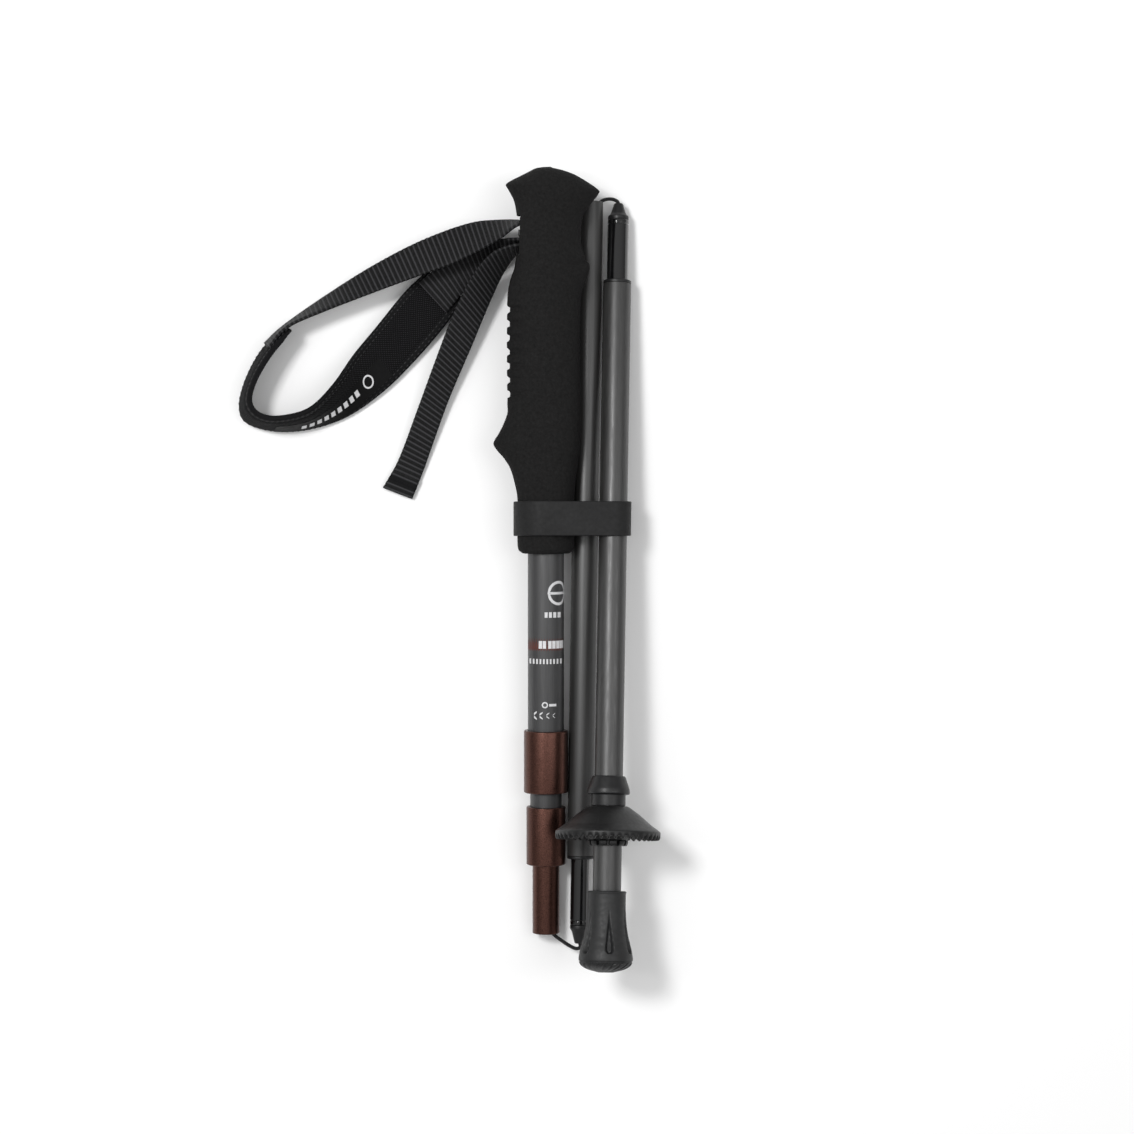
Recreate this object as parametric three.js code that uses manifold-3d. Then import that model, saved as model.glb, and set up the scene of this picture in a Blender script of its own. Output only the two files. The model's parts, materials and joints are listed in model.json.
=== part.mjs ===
// A folding trekking pole, packed for carrying: a telescoping upper section with a foam grip, two
// folding sections on a tension cord, a basket, a rubber tip, a wrist strap and a storage strap.
// Millimetres. +Y runs along the pole towards the grip, +Z up from the surface that it lies on.
import * as THREE from 'three'
import { mergeVertices } from 'three/addons/utils/BufferGeometryUtils.js'
import Module from 'manifold-3d'

const wasm = await Module()
wasm.setup()

// ---- Driving dimensions -------------------------------------------------------------------------
const SIDES = 20
const GAP = 0.3

// Where each section lies. A section's local Y axis is its tube's axis, and its origin its upper end.
const UPPER_TILT = 0.0515
const MIDDLE_POSITION = [19.6, -13.2, 7.6]
const MIDDLE_YAW = -0.0147
const LOWER_POSITION = [32.4, -13.7, 4.9]
const LOWER_YAW = -0.0185
const LOWER_TILT = -0.108

// Upper section
const UPPER_TUBE = { outer: 8, inner: 7.2, top: -44.5, bottom: -252.5 }
const GRIP_BORE = { radius: 8.2, headRadius: 10.5, headBottom: -44.4, top: -20 }
const SLEEVE_END = -170
const SLOT = { top: -21, bottom: -39.3, halfWidth: 8, end: -1.5 }
const PIN = { radius: 1.6, halfLength: 8.6, x: -3.7, y: -25.2 }
const HEAD_CORE = 10.2
const UPPER_COLLAR = { outer: 9.8, top: -248.8, bottom: -276.5 }
const INNER_TUBE = { outer: 7, inner: 6.3, top: -66, bottom: -287 }
const LOWER_COLLAR = { outer: 8.7, top: -282.8, bottom: -308.7 }
const TENSION_TUBE = { outer: 6, inner: 5.2, top: -238, bottom: -339.5 }
const COLLAR_CHAMFER = 0.8

// Middle section
const MIDDLE_TUBE = { outer: 5.9, inner: 5.0, length: 291.3 }
const MIDDLE_INSERT = { outer: 4.17, bore: 2.6, length: 29.5 }
const NOSE = { length: 8.3, tip: 2.2, hole: 1.35 }
const SHOULDER = 1.4

// Lower section
const LOWER_NOSE_LENGTH = 7.5
const LOWER_INSERT = { outer: 4.75, bore: 3, length: 27.6 }
const LOWER_TUBE = { outer: 6.2, inner: 5.3, bottom: -303 }
const BASKET = { rim: 23.1, coneTop: -268.5, rimTop: -279.4, rimBottom: -282.4, hubBottom: -285.4 }
const TIP = { top: -305.3, bottom: -340.6 }

const CORD_RADIUS = 1
const CORD_END = -81
const WEBBING = 1.3
const PAD = 3.6
const BAND = { from: -162.2, to: -147, thickness: 1.5 }

// ---- Materials ----------------------------------------------------------------------------------
const material = (color, roughness, metalness) =>
  new THREE.MeshStandardMaterial({ color, roughness, metalness })
const carbon = material(0x3a3a3b, 0.55, 0.1)
const bronze = material(0x4f2c20, 0.35, 0.9)
const glossBlack = material(0x0c0c0c, 0.12, 0.4)
const blackPlastic = material(0x191919, 0.5, 0)
const nylon = material(0xd0cdc2, 0.5, 0)
const foam = material(0x1d1d1e, 0.95, 0)
const rubber = material(0x2c2c2d, 0.8, 0)
const webbing = material(0x161617, 0.9, 0)
const padFabric = material(0x1b1b1c, 0.95, 0)
const steel = material(0xb8b8bb, 0.3, 1)
const carbide = material(0x77787c, 0.35, 1)
const cordBlack = material(0x101010, 0.8, 0)

// ---- Shape helpers ------------------------------------------------------------------------------
const box3 = (low, high) => {
  const shape = new THREE.BoxGeometry(high[0] - low[0], high[1] - low[1], high[2] - low[2])
  return shape.translate((low[0] + high[0]) / 2, (low[1] + high[1]) / 2, (low[2] + high[2]) / 2)
}

// A turned shape about the local Y axis. The profile is [radius, y] points, from low y to high y on
// the outside; a ring's profile goes on down its bore and closes on its first point.
const turned = (profile, sides = SIDES) =>
  new THREE.LatheGeometry(profile.map(([r, y]) => new THREE.Vector2(r, y)), sides)

const ring = (outside, bore, sides = SIDES) => turned([...outside, ...bore, outside[0]], sides)

const pipe = (outer, inner, bottom, top, sides = SIDES) =>
  ring([[outer, bottom], [outer, top]], [[inner, top], [inner, bottom]], sides)

const chamferedPipe = (outer, inner, bottom, top, chamfer, sides = SIDES) =>
  ring([[outer - chamfer, bottom], [outer, bottom + chamfer], [outer, top - chamfer], [outer - chamfer, top]],
    [[inner, top], [inner, bottom]], sides)

const solidOf = (geometry) => {
  const bare = geometry.clone()
  bare.deleteAttribute('normal')
  bare.deleteAttribute('uv')
  const merged = mergeVertices(bare, 1e-5)
  return new wasm.Manifold(new wasm.Mesh({
    numProp: 3,
    vertProperties: new Float32Array(merged.attributes.position.array),
    triVerts: new Uint32Array(merged.index.array),
  }))
}

const geometryOf = (solid) => {
  const mesh = solid.getMesh()
  const geometry = new THREE.BufferGeometry()
  geometry.setAttribute('position', new THREE.BufferAttribute(new Float32Array(mesh.vertProperties), 3))
  geometry.setIndex(new THREE.BufferAttribute(new Uint32Array(mesh.triVerts), 1))
  geometry.computeVertexNormals()
  return geometry
}

const cut = (geometry, ...tools) =>
  geometryOf(tools.reduce((solid, tool) => solid.subtract(solidOf(tool)), solidOf(geometry)))

const circle = (radius, sides) => {
  const points = Array.from({ length: sides }, (_, i) => {
    const angle = (2 * Math.PI * i) / sides
    return new THREE.Vector2(radius * Math.cos(angle), radius * Math.sin(angle))
  })
  return new THREE.Shape(points)
}

const smoothCurve = (points) =>
  new THREE.CatmullRomCurve3(points.map((p) => new THREE.Vector3(...p)), false, 'centripetal')

const cord = (points, steps, radius = CORD_RADIUS, sides = 8) => {
  const path = smoothCurve(points)
  return new THREE.ExtrudeGeometry(circle(radius, sides), { steps, bevelEnabled: false, extrudePath: path })
}

// A strip between two edges, each given by its points, with its thickness across the strip's face.
const strip = (firstEdge, secondEdge, thickness, steps, across = 1) => {
  const first = smoothCurve(firstEdge)
  const second = smoothCurve(secondEdge)
  const geometry = new THREE.BoxGeometry(1, 1, 1, across, steps, 1)
  const position = geometry.attributes.position
  for (let i = 0; i < position.count; i += 1) {
    const along = THREE.MathUtils.clamp(position.getY(i) + 0.5, 0, 1)
    const a = first.getPointAt(along)
    const b = second.getPointAt(along)
    const forward = first.getTangentAt(along).add(second.getTangentAt(along)).normalize()
    const width = b.clone().sub(a)
    const normal = width.clone().cross(forward).normalize()
    const point = a.clone().addScaledVector(width, position.getX(i) + 0.5)
    point.addScaledVector(normal, position.getZ(i) * thickness)
    position.setXYZ(i, point.x, point.y, point.z)
  }
  return geometry
}

// The outline of a band round several circles: the outermost point in each direction, plus an offset.
const wrapped = (circles, offset, count) =>
  Array.from({ length: count }, (_, i) => {
    const angle = (2 * Math.PI * i) / count
    const reach = ([x, y, r]) => x * Math.cos(angle) + y * Math.sin(angle) + r
    const best = circles.reduce((a, b) => (reach(b) > reach(a) ? b : a))
    return new THREE.Vector2(
      best[0] + (best[2] + offset) * Math.cos(angle),
      best[1] + (best[2] + offset) * Math.sin(angle),
    )
  })

const part = new THREE.Group()
const bundle = new THREE.Group()
part.add(bundle)
const upper = new THREE.Group()
const middle = new THREE.Group()
const lower = new THREE.Group()
bundle.add(upper, middle, lower)

const upperHeight = (-UPPER_COLLAR.bottom) * Math.sin(UPPER_TILT) + UPPER_COLLAR.outer * Math.cos(UPPER_TILT)
upper.position.set(0, 0, upperHeight)
upper.rotation.set(UPPER_TILT, 0, 0)
middle.position.set(...MIDDLE_POSITION)
middle.rotation.set(0, 0, MIDDLE_YAW)
lower.position.set(...LOWER_POSITION)
lower.rotation.set(LOWER_TILT, 0, LOWER_YAW)
bundle.updateMatrixWorld(true)

const add = (group, name, geometry, look) => {
  const mesh = new THREE.Mesh(geometry, look)
  mesh.name = name
  group.add(mesh)
}

// ---- Grip ---------------------------------------------------------------------------------------
// Each station is [y, reach towards -X, reach towards +X, half depth in Z].
const RIDGES = { count: 7, top: -62.5, pitch: 6.2, peak: 17.2, valley: 16 }

const gripStations = () => {
  const ridges = []
  for (let i = 0; i < RIDGES.count; i += 1) {
    const y = RIDGES.top - i * RIDGES.pitch
    ridges.push([y, RIDGES.valley, 15.3, 14], [y - RIDGES.pitch / 2, RIDGES.peak, 15.2, 13.8])
  }
  return [
    [0.3, 2, 6, 3.5], [-0.8, 7, 12, 8], [-3.2, 11.5, 17.5, 11.5], [-6.6, 15.5, 21.5, 13.2],
    [-8.6, 17.3, 23.6, 13.8], [-11, 16.5, 23.4, 13.8], [-15, 14.3, 20.5, 13.2], [-20.5, 12.9, 16.8, 12.8],
    [-28, 12.6, 15.3, 12.8], [-36, 12.8, 16.2, 13.4], [-41.5, 13.4, 19.2, 14.2], [-44.5, 14, 19.4, 14.4],
    [-49, 15.6, 18, 14.4], [-55, 16.8, 15.8, 14.2],
    ...ridges,
    [-108, 17, 15.6, 13.6], [-112.5, 18.6, 15.6, 13.4], [-117, 20.8, 15.4, 13.2], [-121.3, 23.3, 15.2, 13],
    [-124, 22, 15, 12.9], [-128.5, 18.2, 14.4, 12.7], [-133, 15.6, 13.8, 12.6], [-140, 13.6, 13, 12.5],
    [-146, 12.6, 12.6, 12.5], [-165.5, 12.6, 12.6, 12.5], [-168.8, 12, 12, 11.9], [-170, 10.4, 10.4, 10.4],
  ].reverse()
}

const gripShape = () => {
  const stations = gripStations()
  const low = stations[0][0]
  const high = stations[stations.length - 1][0]
  const geometry = turned([[0, low], ...stations.map(([y]) => [1, y]), [0, high]], SIDES)
  const position = geometry.attributes.position
  for (let i = 0; i < position.count; i += 1) {
    const y = position.getY(i)
    const station = stations.find((s) => Math.abs(s[0] - y) < 1e-4)
    const x = position.getX(i)
    position.setX(i, x * (x < 0 ? station[1] : station[2]))
    position.setZ(i, position.getZ(i) * station[3])
  }
  return geometry
}

const slotTool = (right) => box3([-40, SLOT.bottom, -SLOT.halfWidth], [right, SLOT.top, SLOT.halfWidth])

const buildGrip = () => {
  const bore = turned([[0, SLEEVE_END - 5], [GRIP_BORE.radius, SLEEVE_END - 5],
    [GRIP_BORE.radius, GRIP_BORE.headBottom], [GRIP_BORE.headRadius, GRIP_BORE.headBottom],
    [GRIP_BORE.headRadius, GRIP_BORE.top], [0, GRIP_BORE.top]])
  add(upper, 'grip_foam', cut(gripShape(), bore, slotTool(0)), foam)

  const headBottom = UPPER_TUBE.top + GAP
  const plug = turned([[0, -58], [6.9, -58], [6.9, headBottom], [HEAD_CORE, headBottom],
    [HEAD_CORE, GRIP_BORE.top - GAP], [0, GRIP_BORE.top - GAP]])
  const holeRadius = PIN.radius + 0.1
  const pinHole = turned([[0, -12], [holeRadius, -12], [holeRadius, 12], [0, 12]], 12)
    .rotateX(Math.PI / 2).translate(PIN.x, PIN.y, 0)
  add(upper, 'grip_core', cut(plug, slotTool(SLOT.end), pinHole), blackPlastic)
}

const buildUpperTubes = () => {
  const { outer, inner, top, bottom } = UPPER_TUBE
  add(upper, 'upper_tube', pipe(outer, inner, bottom, top), carbon)
  add(upper, 'upper_collet', ring([[7.9, -272], [8.3, -254]], [[7.2, -254], [7.2, -272]]), nylon)
  const collar = UPPER_COLLAR
  add(upper, 'lock_collar_upper', ring(
    [[9, collar.bottom], [collar.outer, collar.bottom + COLLAR_CHAMFER],
      [collar.outer, collar.top - COLLAR_CHAMFER], [9, collar.top]],
    [[8.2, collar.top], [8.2, -253], [8.55, -253.3], [8.2, -273], [7.25, -273.4], [7.25, collar.bottom]],
  ), bronze)

  add(upper, 'inner_tube', pipe(INNER_TUBE.outer, INNER_TUBE.inner, INNER_TUBE.bottom, INNER_TUBE.top),
    carbon)
  add(upper, 'inner_guide_bush', ring([[6.1, -74], [6.1, -65.7], [7.05, -65.7], [7.05, -62]],
    [[5, -62], [5, -74]]), nylon)
  add(upper, 'lower_collet', ring([[7, -304], [7.3, -289]], [[6.15, -289], [6.15, -304]]), nylon)
  add(upper, 'lock_collar_lower', ring(
    [[8, LOWER_COLLAR.bottom], [LOWER_COLLAR.outer, LOWER_COLLAR.bottom + COLLAR_CHAMFER],
      [LOWER_COLLAR.outer, LOWER_COLLAR.top - COLLAR_CHAMFER], [8, LOWER_COLLAR.top]],
    [[7.2, LOWER_COLLAR.top], [7.2, -287.6], [7.6, -288], [7.3, -305], [6.25, -305.4],
      [6.25, LOWER_COLLAR.bottom]],
  ), bronze)

  const tube = TENSION_TUBE
  add(upper, 'tension_tube', chamferedPipe(tube.outer, tube.inner, tube.bottom, tube.top, 0.3), bronze)
  add(upper, 'tension_guide_bush', ring([[5, tube.top - 8], [5, tube.top + GAP], [6.15, tube.top + GAP],
    [6.15, tube.top + 4]], [[1.6, tube.top + 4], [1.6, tube.top - 8]]), nylon)
  add(upper, 'tension_mouth_bush', pipe(5.1, 4.4, tube.bottom + 0.4, tube.bottom + 14), nylon)
}

// The spring that keeps the cord tight, a helix round the cord inside the tension tube.
const SPRING = { turns: 7, pitch: 2.6, radius: 3.4, wire: 0.55, top: -248 }

const buildSpringAndCord = () => {
  const steps = SPRING.turns * 10
  const points = Array.from({ length: steps + 1 }, (_, i) => {
    const angle = (2 * Math.PI * i * SPRING.turns) / steps
    return [SPRING.radius * Math.cos(angle), SPRING.top - (SPRING.pitch * i * SPRING.turns) / steps,
      SPRING.radius * Math.sin(angle)]
  })
  add(upper, 'tension_spring', cord(points, steps, SPRING.wire, 5), steel)
  const springEnd = SPRING.top - SPRING.turns * SPRING.pitch - 1.2
  add(upper, 'cord_stop', turned(
    [[0, springEnd - 3], [4, springEnd - 3], [4, springEnd - 0.3], [0, springEnd - 0.3]]),
    steel)
  add(upper, 'cord_upper_run', turned([[0, TENSION_TUBE.bottom + 9], [CORD_RADIUS, TENSION_TUBE.bottom + 9],
    [CORD_RADIUS, springEnd - 3.3], [0, springEnd - 3.3]], 8), cordBlack)
}

// ---- Folding sections ---------------------------------------------------------------------------
const nose = (base, tip, hole, bottom, top, flip) => {
  const wide = flip ? top : bottom
  const end = flip ? bottom : top
  const bulge = (wide + end) / 2
  const outside = [[base, wide], [base * 0.86, bulge], [tip, end]]
  const outline = flip ? outside.reverse() : outside
  return ring(outline, [[hole, top], [hole, bottom]])
}

const buildMiddle = () => {
  const end = -MIDDLE_TUBE.length
  const insertEnd = end - SHOULDER - MIDDLE_INSERT.length
  add(middle, 'middle_tube', pipe(MIDDLE_TUBE.outer, MIDDLE_TUBE.inner, end, 0), carbon)
  add(middle, 'middle_shoulder_ring', pipe(MIDDLE_TUBE.outer, MIDDLE_INSERT.outer + 0.1, end - SHOULDER,
    end - 0.1), blackPlastic)
  add(middle, 'middle_insert', ring(
    [[MIDDLE_INSERT.outer - 0.3, insertEnd], [MIDDLE_INSERT.outer, insertEnd + 0.3],
      [MIDDLE_INSERT.outer, end + 0.3], [4.85, end + 0.3], [4.85, end + 30]],
    [[MIDDLE_INSERT.bore, end + 30], [MIDDLE_INSERT.bore, insertEnd]],
  ), glossBlack)
  add(middle, 'middle_nose', nose(4.15, NOSE.tip, NOSE.hole, insertEnd - NOSE.length, insertEnd - 0.1, true),
    blackPlastic)
  add(middle, 'cord_middle_run', turned(
    [[0, insertEnd - NOSE.length + 1], [CORD_RADIUS, insertEnd - NOSE.length + 1],
    [CORD_RADIUS, CORD_END], [0, CORD_END]], 8), cordBlack)
}

const buildLower = () => {
  const insertTop = -LOWER_NOSE_LENGTH
  const shoulder = insertTop - LOWER_INSERT.length
  const tubeTop = shoulder - SHOULDER
  add(lower, 'lower_nose', nose(4.5, NOSE.tip, NOSE.hole, insertTop + 0.1, 0, false), blackPlastic)
  add(lower, 'lower_insert', ring(
    [[4.9, tubeTop - 30], [4.9, tubeTop - 0.3], [LOWER_INSERT.outer, tubeTop - 0.3],
      [LOWER_INSERT.outer, insertTop - 0.3], [LOWER_INSERT.outer - 0.3, insertTop]],
    [[LOWER_INSERT.bore, insertTop], [LOWER_INSERT.bore, tubeTop - 30]],
  ), glossBlack)
  add(lower, 'lower_shoulder_ring', pipe(LOWER_TUBE.outer, LOWER_INSERT.outer + 0.1, tubeTop + 0.1, shoulder),
    blackPlastic)
  add(lower, 'lower_tube', pipe(LOWER_TUBE.outer, LOWER_TUBE.inner, LOWER_TUBE.bottom, tubeTop), carbon)
  const anchor = tubeTop - 33
  add(lower, 'cord_lower_run', turned(
    [[0, anchor], [CORD_RADIUS, anchor], [CORD_RADIUS, -1], [0, -1]], 8), cordBlack)
  add(lower, 'cord_knot', turned([[0, anchor - 6.3], [3.2, anchor - 5], [3.6, anchor - 3], [3, anchor - 0.3],
    [0, anchor - 0.3]], 12), cordBlack)
}

// ---- Foot ---------------------------------------------------------------------------------------
const buildFoot = () => {
  add(lower, 'basket_seat', ring(
    [[6.9, -267.6], [6.9, -263.9], [9.3, -263.3], [9.3, -261.5], [7, -255.3]],
    [[6.35, -255.3], [6.35, -267.6]],
  ), blackPlastic)
  const { rim, coneTop, rimTop, rimBottom, hubBottom } = BASKET
  add(lower, 'basket', ring(
    [[9, hubBottom], [9, rimBottom + 0.4], [rim - 2, rimBottom - 1], [rim, rimBottom], [rim, rimTop],
      [8.7, coneTop]],
    [[6.45, coneTop], [6.45, hubBottom]], 32,
  ), blackPlastic)
  add(lower, 'tip_ferrule', ring([[3.6, -325], [6, -312], [6, -303.4], [5.2, -303.4], [5.2, -285]],
    [[2.6, -285], [2.6, -325]]), blackPlastic)
  add(lower, 'carbide_tip', turned(
    [[0, -330.6], [2.2, -331], [2.5, -327], [2.5, -315], [0, -315]], 12), carbide)
  add(lower, 'rubber_tip', ring(
    [[8.5, TIP.bottom], [11.2, -338.2], [11.75, -335], [11.4, -331.5], [9.6, -324], [8.4, -317],
      [8, TIP.top]],
    [[6.5, TIP.top], [6.5, -312], [4.1, -325.6], [3, -332], [0, -332], [0, TIP.bottom]],
  ), rubber)
}

// ---- Cord loops at the two folds, and the storage strap -----------------------------------------
const LOWER_LOOP = [[0, -331, 7], [0.3, -334.5, 6.9], [2.2, -339.6, 6.8], [5.8, -344.2, 6.9],
  [9.8, -347, 7.2], [12.8, -347.8, 7.5], [14.5, -346.6, 7.6], [14.75, -344.9, 7.6]]
const UPPER_LOOP = [[18.46, -91, 7.6], [19.29, -34, 7.6], [19.5, -20.5, 7.6], [19.8, -17, 7.6],
  [21.4, -13.6, 7.5], [24.2, -11.3, 7], [27.6, -10.4, 6.2], [30.6, -10.8, 5.3],
  [32.2, -12.2, 4.8], [32.4, -13.4, 4.8]]

const axisPoint = (group, y) => {
  const direction = new THREE.Vector3(0, 1, 0).applyQuaternion(group.quaternion)
  return group.position.clone().addScaledVector(direction, (y - group.position.y) / direction.y)
}

const buildBand = () => {
  const rounds = [[upper, 12.6], [middle, MIDDLE_TUBE.outer], [lower, LOWER_TUBE.outer]]
  const circles = rounds.flatMap(([group, radius]) => [BAND.from, BAND.to].map((y) => {
    const centre = axisPoint(group, y)
    return [centre.x, -centre.z, radius]
  }))
  const outline = new THREE.Shape(wrapped(circles, GAP + BAND.thickness, 48))
  outline.holes.push(new THREE.Path(wrapped(circles, GAP, 48)))
  const geometry = new THREE.ExtrudeGeometry(outline,
    { depth: BAND.to - BAND.from, steps: 1, bevelEnabled: false })
  return geometry.rotateX(-Math.PI / 2).translate(0, BAND.from, 0)
}

const buildSoftTies = () => {
  add(bundle, 'cord_loop_lower', cord(LOWER_LOOP, 28), cordBlack)
  add(bundle, 'cord_loop_upper', cord(UPPER_LOOP, 90), cordBlack)
  add(bundle, 'storage_strap', buildBand(), rubber)
}

// ---- Wrist strap: two edges for each strip ------------------------------------------------------
const STRAND_LOW_EDGE = [
  [-8.5, -23.4, 16], [-13, -22.6, 15.5], [-22, -22.5, 14], [-32.5, -23.5, 12], [-54.5, -31, 9],
  [-77.5, -42.5, 6], [-100.5, -56.5, 3], [-116, -68, 1.2]]
const STRAND_HIGH_EDGE = [
  [-8.5, -25, 30], [-13, -26.4, 29.5], [-20, -31.5, 27.5], [-40, -41.5, 22.5], [-55.5, -47, 19.5],
  [-81, -56, 16.5], [-101, -63.5, 16], [-113.5, -71, 16]]
const PAD_OUTER_EDGE = [[-118.5, -71.5, 0.8], [-126.5, -79, 0.6], [-134, -93, 0.6], [-136.5, -104, 0.6],
  [-135, -109.5, 0.6], [-128, -113, 0.6], [-116, -114.5, 0.6], [-103, -113, 0.6], [-89.5, -108.5, 1],
  [-73, -97.5, 1.9], [-59, -84, 2.2], [-45.5, -68.5, 3], [-36.5, -56.5, 4.5]]
const PAD_INNER_EDGE = [[-115.5, -73.5, 18], [-122.5, -83, 20], [-129, -95, 21.5], [-130.5, -103, 22],
  [-128, -107.5, 22], [-122.5, -110, 22], [-113.5, -109.5, 21.5], [-104, -106, 19.5], [-94, -95, 15],
  [-85.5, -81.5, 9.5], [-75, -68, 6], [-63, -53, 5], [-53, -43.5, 5.5]]
const LOWER_STRAND_OUTER_EDGE = [[-37, -54, 5], [-30, -47.5, 7.5], [-23, -41.5, 10.5], [-15, -35.4, 13.8],
  [-9, -33, 15.4]]
const LOWER_STRAND_INNER_EDGE = [[-47, -42.5, 5.9], [-38, -36, 9.5], [-28, -32, 15.5], [-17, -31.5, 24],
  [-9, -31.8, 29.6]]
const TAIL_RIGHT_EDGE = [
  [-9, -35.9, 15.6], [-13.2, -37.6, 15], [-18.5, -44.5, 12.6], [-24.5, -57, 9.8], [-32.5, -76, 7.4],
  [-43.5, -101.5, 4.4], [-55.5, -134.5, 1.6], [-60, -145.5, 1]]
const TAIL_LEFT_EDGE = [
  [-9, -34.6, 29.4], [-14, -34.6, 28.5], [-22.5, -37.5, 26], [-31, -45.5, 19], [-40.5, -62, 12],
  [-48.5, -82, 8.6], [-57, -104.5, 5], [-66.5, -129, 2], [-73, -140.5, 1]]

const buildWristStrap = () => {
  add(bundle, 'strap_upper_webbing', strip(STRAND_LOW_EDGE, STRAND_HIGH_EDGE, WEBBING, 22), webbing)
  add(bundle, 'strap_pad', strip(PAD_OUTER_EDGE, PAD_INNER_EDGE, PAD, 30), padFabric)
  add(bundle, 'strap_lower_webbing', strip(LOWER_STRAND_OUTER_EDGE, LOWER_STRAND_INNER_EDGE, WEBBING, 10),
    webbing)
  add(bundle, 'strap_tail', strip(TAIL_RIGHT_EDGE, TAIL_LEFT_EDGE, WEBBING, 22), webbing)
  add(upper, 'strap_pin', turned([[0, -PIN.halfLength], [PIN.radius, -PIN.halfLength],
    [PIN.radius, PIN.halfLength], [0, PIN.halfLength]], 12)
    .rotateX(Math.PI / 2).translate(PIN.x, PIN.y, 0), steel)
  add(upper, 'strap_wedge', box3([-12, -30, -6], [-3.4, -27.6, 6]), blackPlastic)
}

buildGrip()
buildUpperTubes()
buildSpringAndCord()
buildMiddle()
buildLower()
buildFoot()
buildSoftTies()
buildWristStrap()

// Stand the whole pole on the origin: centred in X and Y, with its lowest point at z = 0.
part.updateMatrixWorld(true)
const bounds = new THREE.Box3().setFromObject(part, true)
const centre = bounds.getCenter(new THREE.Vector3())
bundle.position.set(-centre.x, -centre.y, -bounds.min.z)

export default part
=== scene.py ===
import json
import math

import bmesh
import bpy
from mathutils import Matrix, Vector


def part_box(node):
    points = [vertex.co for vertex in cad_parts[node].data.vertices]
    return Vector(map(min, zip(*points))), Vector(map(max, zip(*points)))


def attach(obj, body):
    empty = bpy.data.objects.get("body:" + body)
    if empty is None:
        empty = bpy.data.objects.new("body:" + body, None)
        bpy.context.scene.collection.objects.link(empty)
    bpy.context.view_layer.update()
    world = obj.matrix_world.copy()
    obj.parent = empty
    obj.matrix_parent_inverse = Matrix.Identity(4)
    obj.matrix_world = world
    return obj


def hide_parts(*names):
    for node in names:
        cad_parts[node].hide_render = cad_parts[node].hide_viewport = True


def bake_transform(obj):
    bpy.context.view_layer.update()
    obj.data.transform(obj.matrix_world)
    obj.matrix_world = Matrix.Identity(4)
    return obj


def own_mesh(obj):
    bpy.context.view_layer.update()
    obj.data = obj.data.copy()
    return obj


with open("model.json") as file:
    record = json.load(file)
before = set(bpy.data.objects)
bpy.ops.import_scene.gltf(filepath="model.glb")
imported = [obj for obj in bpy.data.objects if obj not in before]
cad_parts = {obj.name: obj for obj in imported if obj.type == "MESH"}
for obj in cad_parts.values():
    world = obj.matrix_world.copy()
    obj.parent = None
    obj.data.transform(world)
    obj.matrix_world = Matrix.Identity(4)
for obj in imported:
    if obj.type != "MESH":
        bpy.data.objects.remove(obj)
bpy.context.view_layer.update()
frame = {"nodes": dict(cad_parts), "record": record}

MM = 0.001
FINE = 96
TAU = 2 * math.pi

JOINTS = {joint["name"]: joint for joint in frame["record"]["behaviour"]["joints"]}

# ---- Dimensions, in millimetres: places along a section's own axis, and radii ----------------------
# A tube is its outer radius and its bore, and a span is its low end and its high end.
GRIP_TUBE_TOP = -44.5
GRIP_SLEEVE = 12.6
SLOT_TOP, SLOT_BOTTOM, SLOT_HALF = -21.2, -38.9, 7.9
UPPER_TUBE_BOTTOM = -252.3
UPPER_COLLAR = (-276.5, -248.8)
INNER_TUBE = (-287, -66)
LOWER_COLLAR = (-308.7, -282.8)
TENSION_TUBE = (-339.5, -238)
MIDDLE_TUBE = (5.9, 5.0)
MIDDLE_LENGTH = 291.3
MIDDLE_INSERT = 29.5
MIDDLE_NOSE = 8.3
SHOULDER = 1.4
LOWER_TUBE = (6.2, 5.3)
LOWER_NOSE = 7.5
LOWER_INSERT = 27.6
LOWER_TUBE_END = -306.5
INSERT_DEPTH = 30
BASKET_RIM = 23.1
TIP_TOP, TIP_BOTTOM = -305.3, -340.6
CORD_RADIUS = 0.8
WEBBING = 1.3
PAD = 3.4
RIB_PITCH = 2.25


# ---- Frames: one for each section, worked out from its CAD tube ------------------------------------
def section(node, up, top):
    """A frame with Y up the tube, in which the tube's top end is at y = top millimetres."""
    up = Vector(up).normalized()
    corners = {tuple(round(c, 6) for c in v.co) for v in frame["nodes"][node].data.vertices}
    corners = [Vector(c) for c in corners]
    middle = sum(corners, Vector()) / len(corners)
    reach = max((c - middle).dot(up) for c in corners)
    origin = middle + up * (reach - top * MM)
    side = (Vector((1, 0, 0)) - up * up.x).normalized()
    out = side.cross(up)
    return Matrix(((side.x, up.x, out.x, origin.x), (side.y, up.y, out.y, origin.y),
                   (side.z, up.z, out.z, origin.z), (0, 0, 0, 1)))


UPPER = section("upper_tube", -Vector(JOINTS["length_adjust"]["axis"]), GRIP_TUBE_TOP)
MIDDLE = section("middle_tube", -Vector(JOINTS["middle_plug_in"]["axis"]), 0)
LOWER_TOP = -LOWER_NOSE - LOWER_INSERT - SHOULDER
LOWER = section("lower_tube", -Vector(JOINTS["tip_pull"]["axis"]), LOWER_TOP)

# The bundle's frame: X = 0 on the grip's axis and Y = 0 at its top, upright, as the strap points use.
CAD_SHIFT = Vector((UPPER.translation.x, UPPER.translation.y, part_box("storage_strap")[0].z)) / MM
BUNDLE_RISE = 0.518


def bundle_point(point):
    return Vector((CAD_SHIFT.x + point[0], CAD_SHIFT.y + point[1], BUNDLE_RISE + point[2])) * MM


# ---- Number and mesh helpers -----------------------------------------------------------------------
def clamp(value):
    return min(1.0, max(0.0, value))


def eased(share):
    """A share from 0 to 1 that starts and ends gently."""
    return share * share * (3 - 2 * share)


def ring_faces(low, high, size):
    """Quads between two rings of points, which start at the indices low and high."""
    return [[low + j, low + (j + 1) % size, high + (j + 1) % size, high + j] for j in range(size)]


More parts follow.
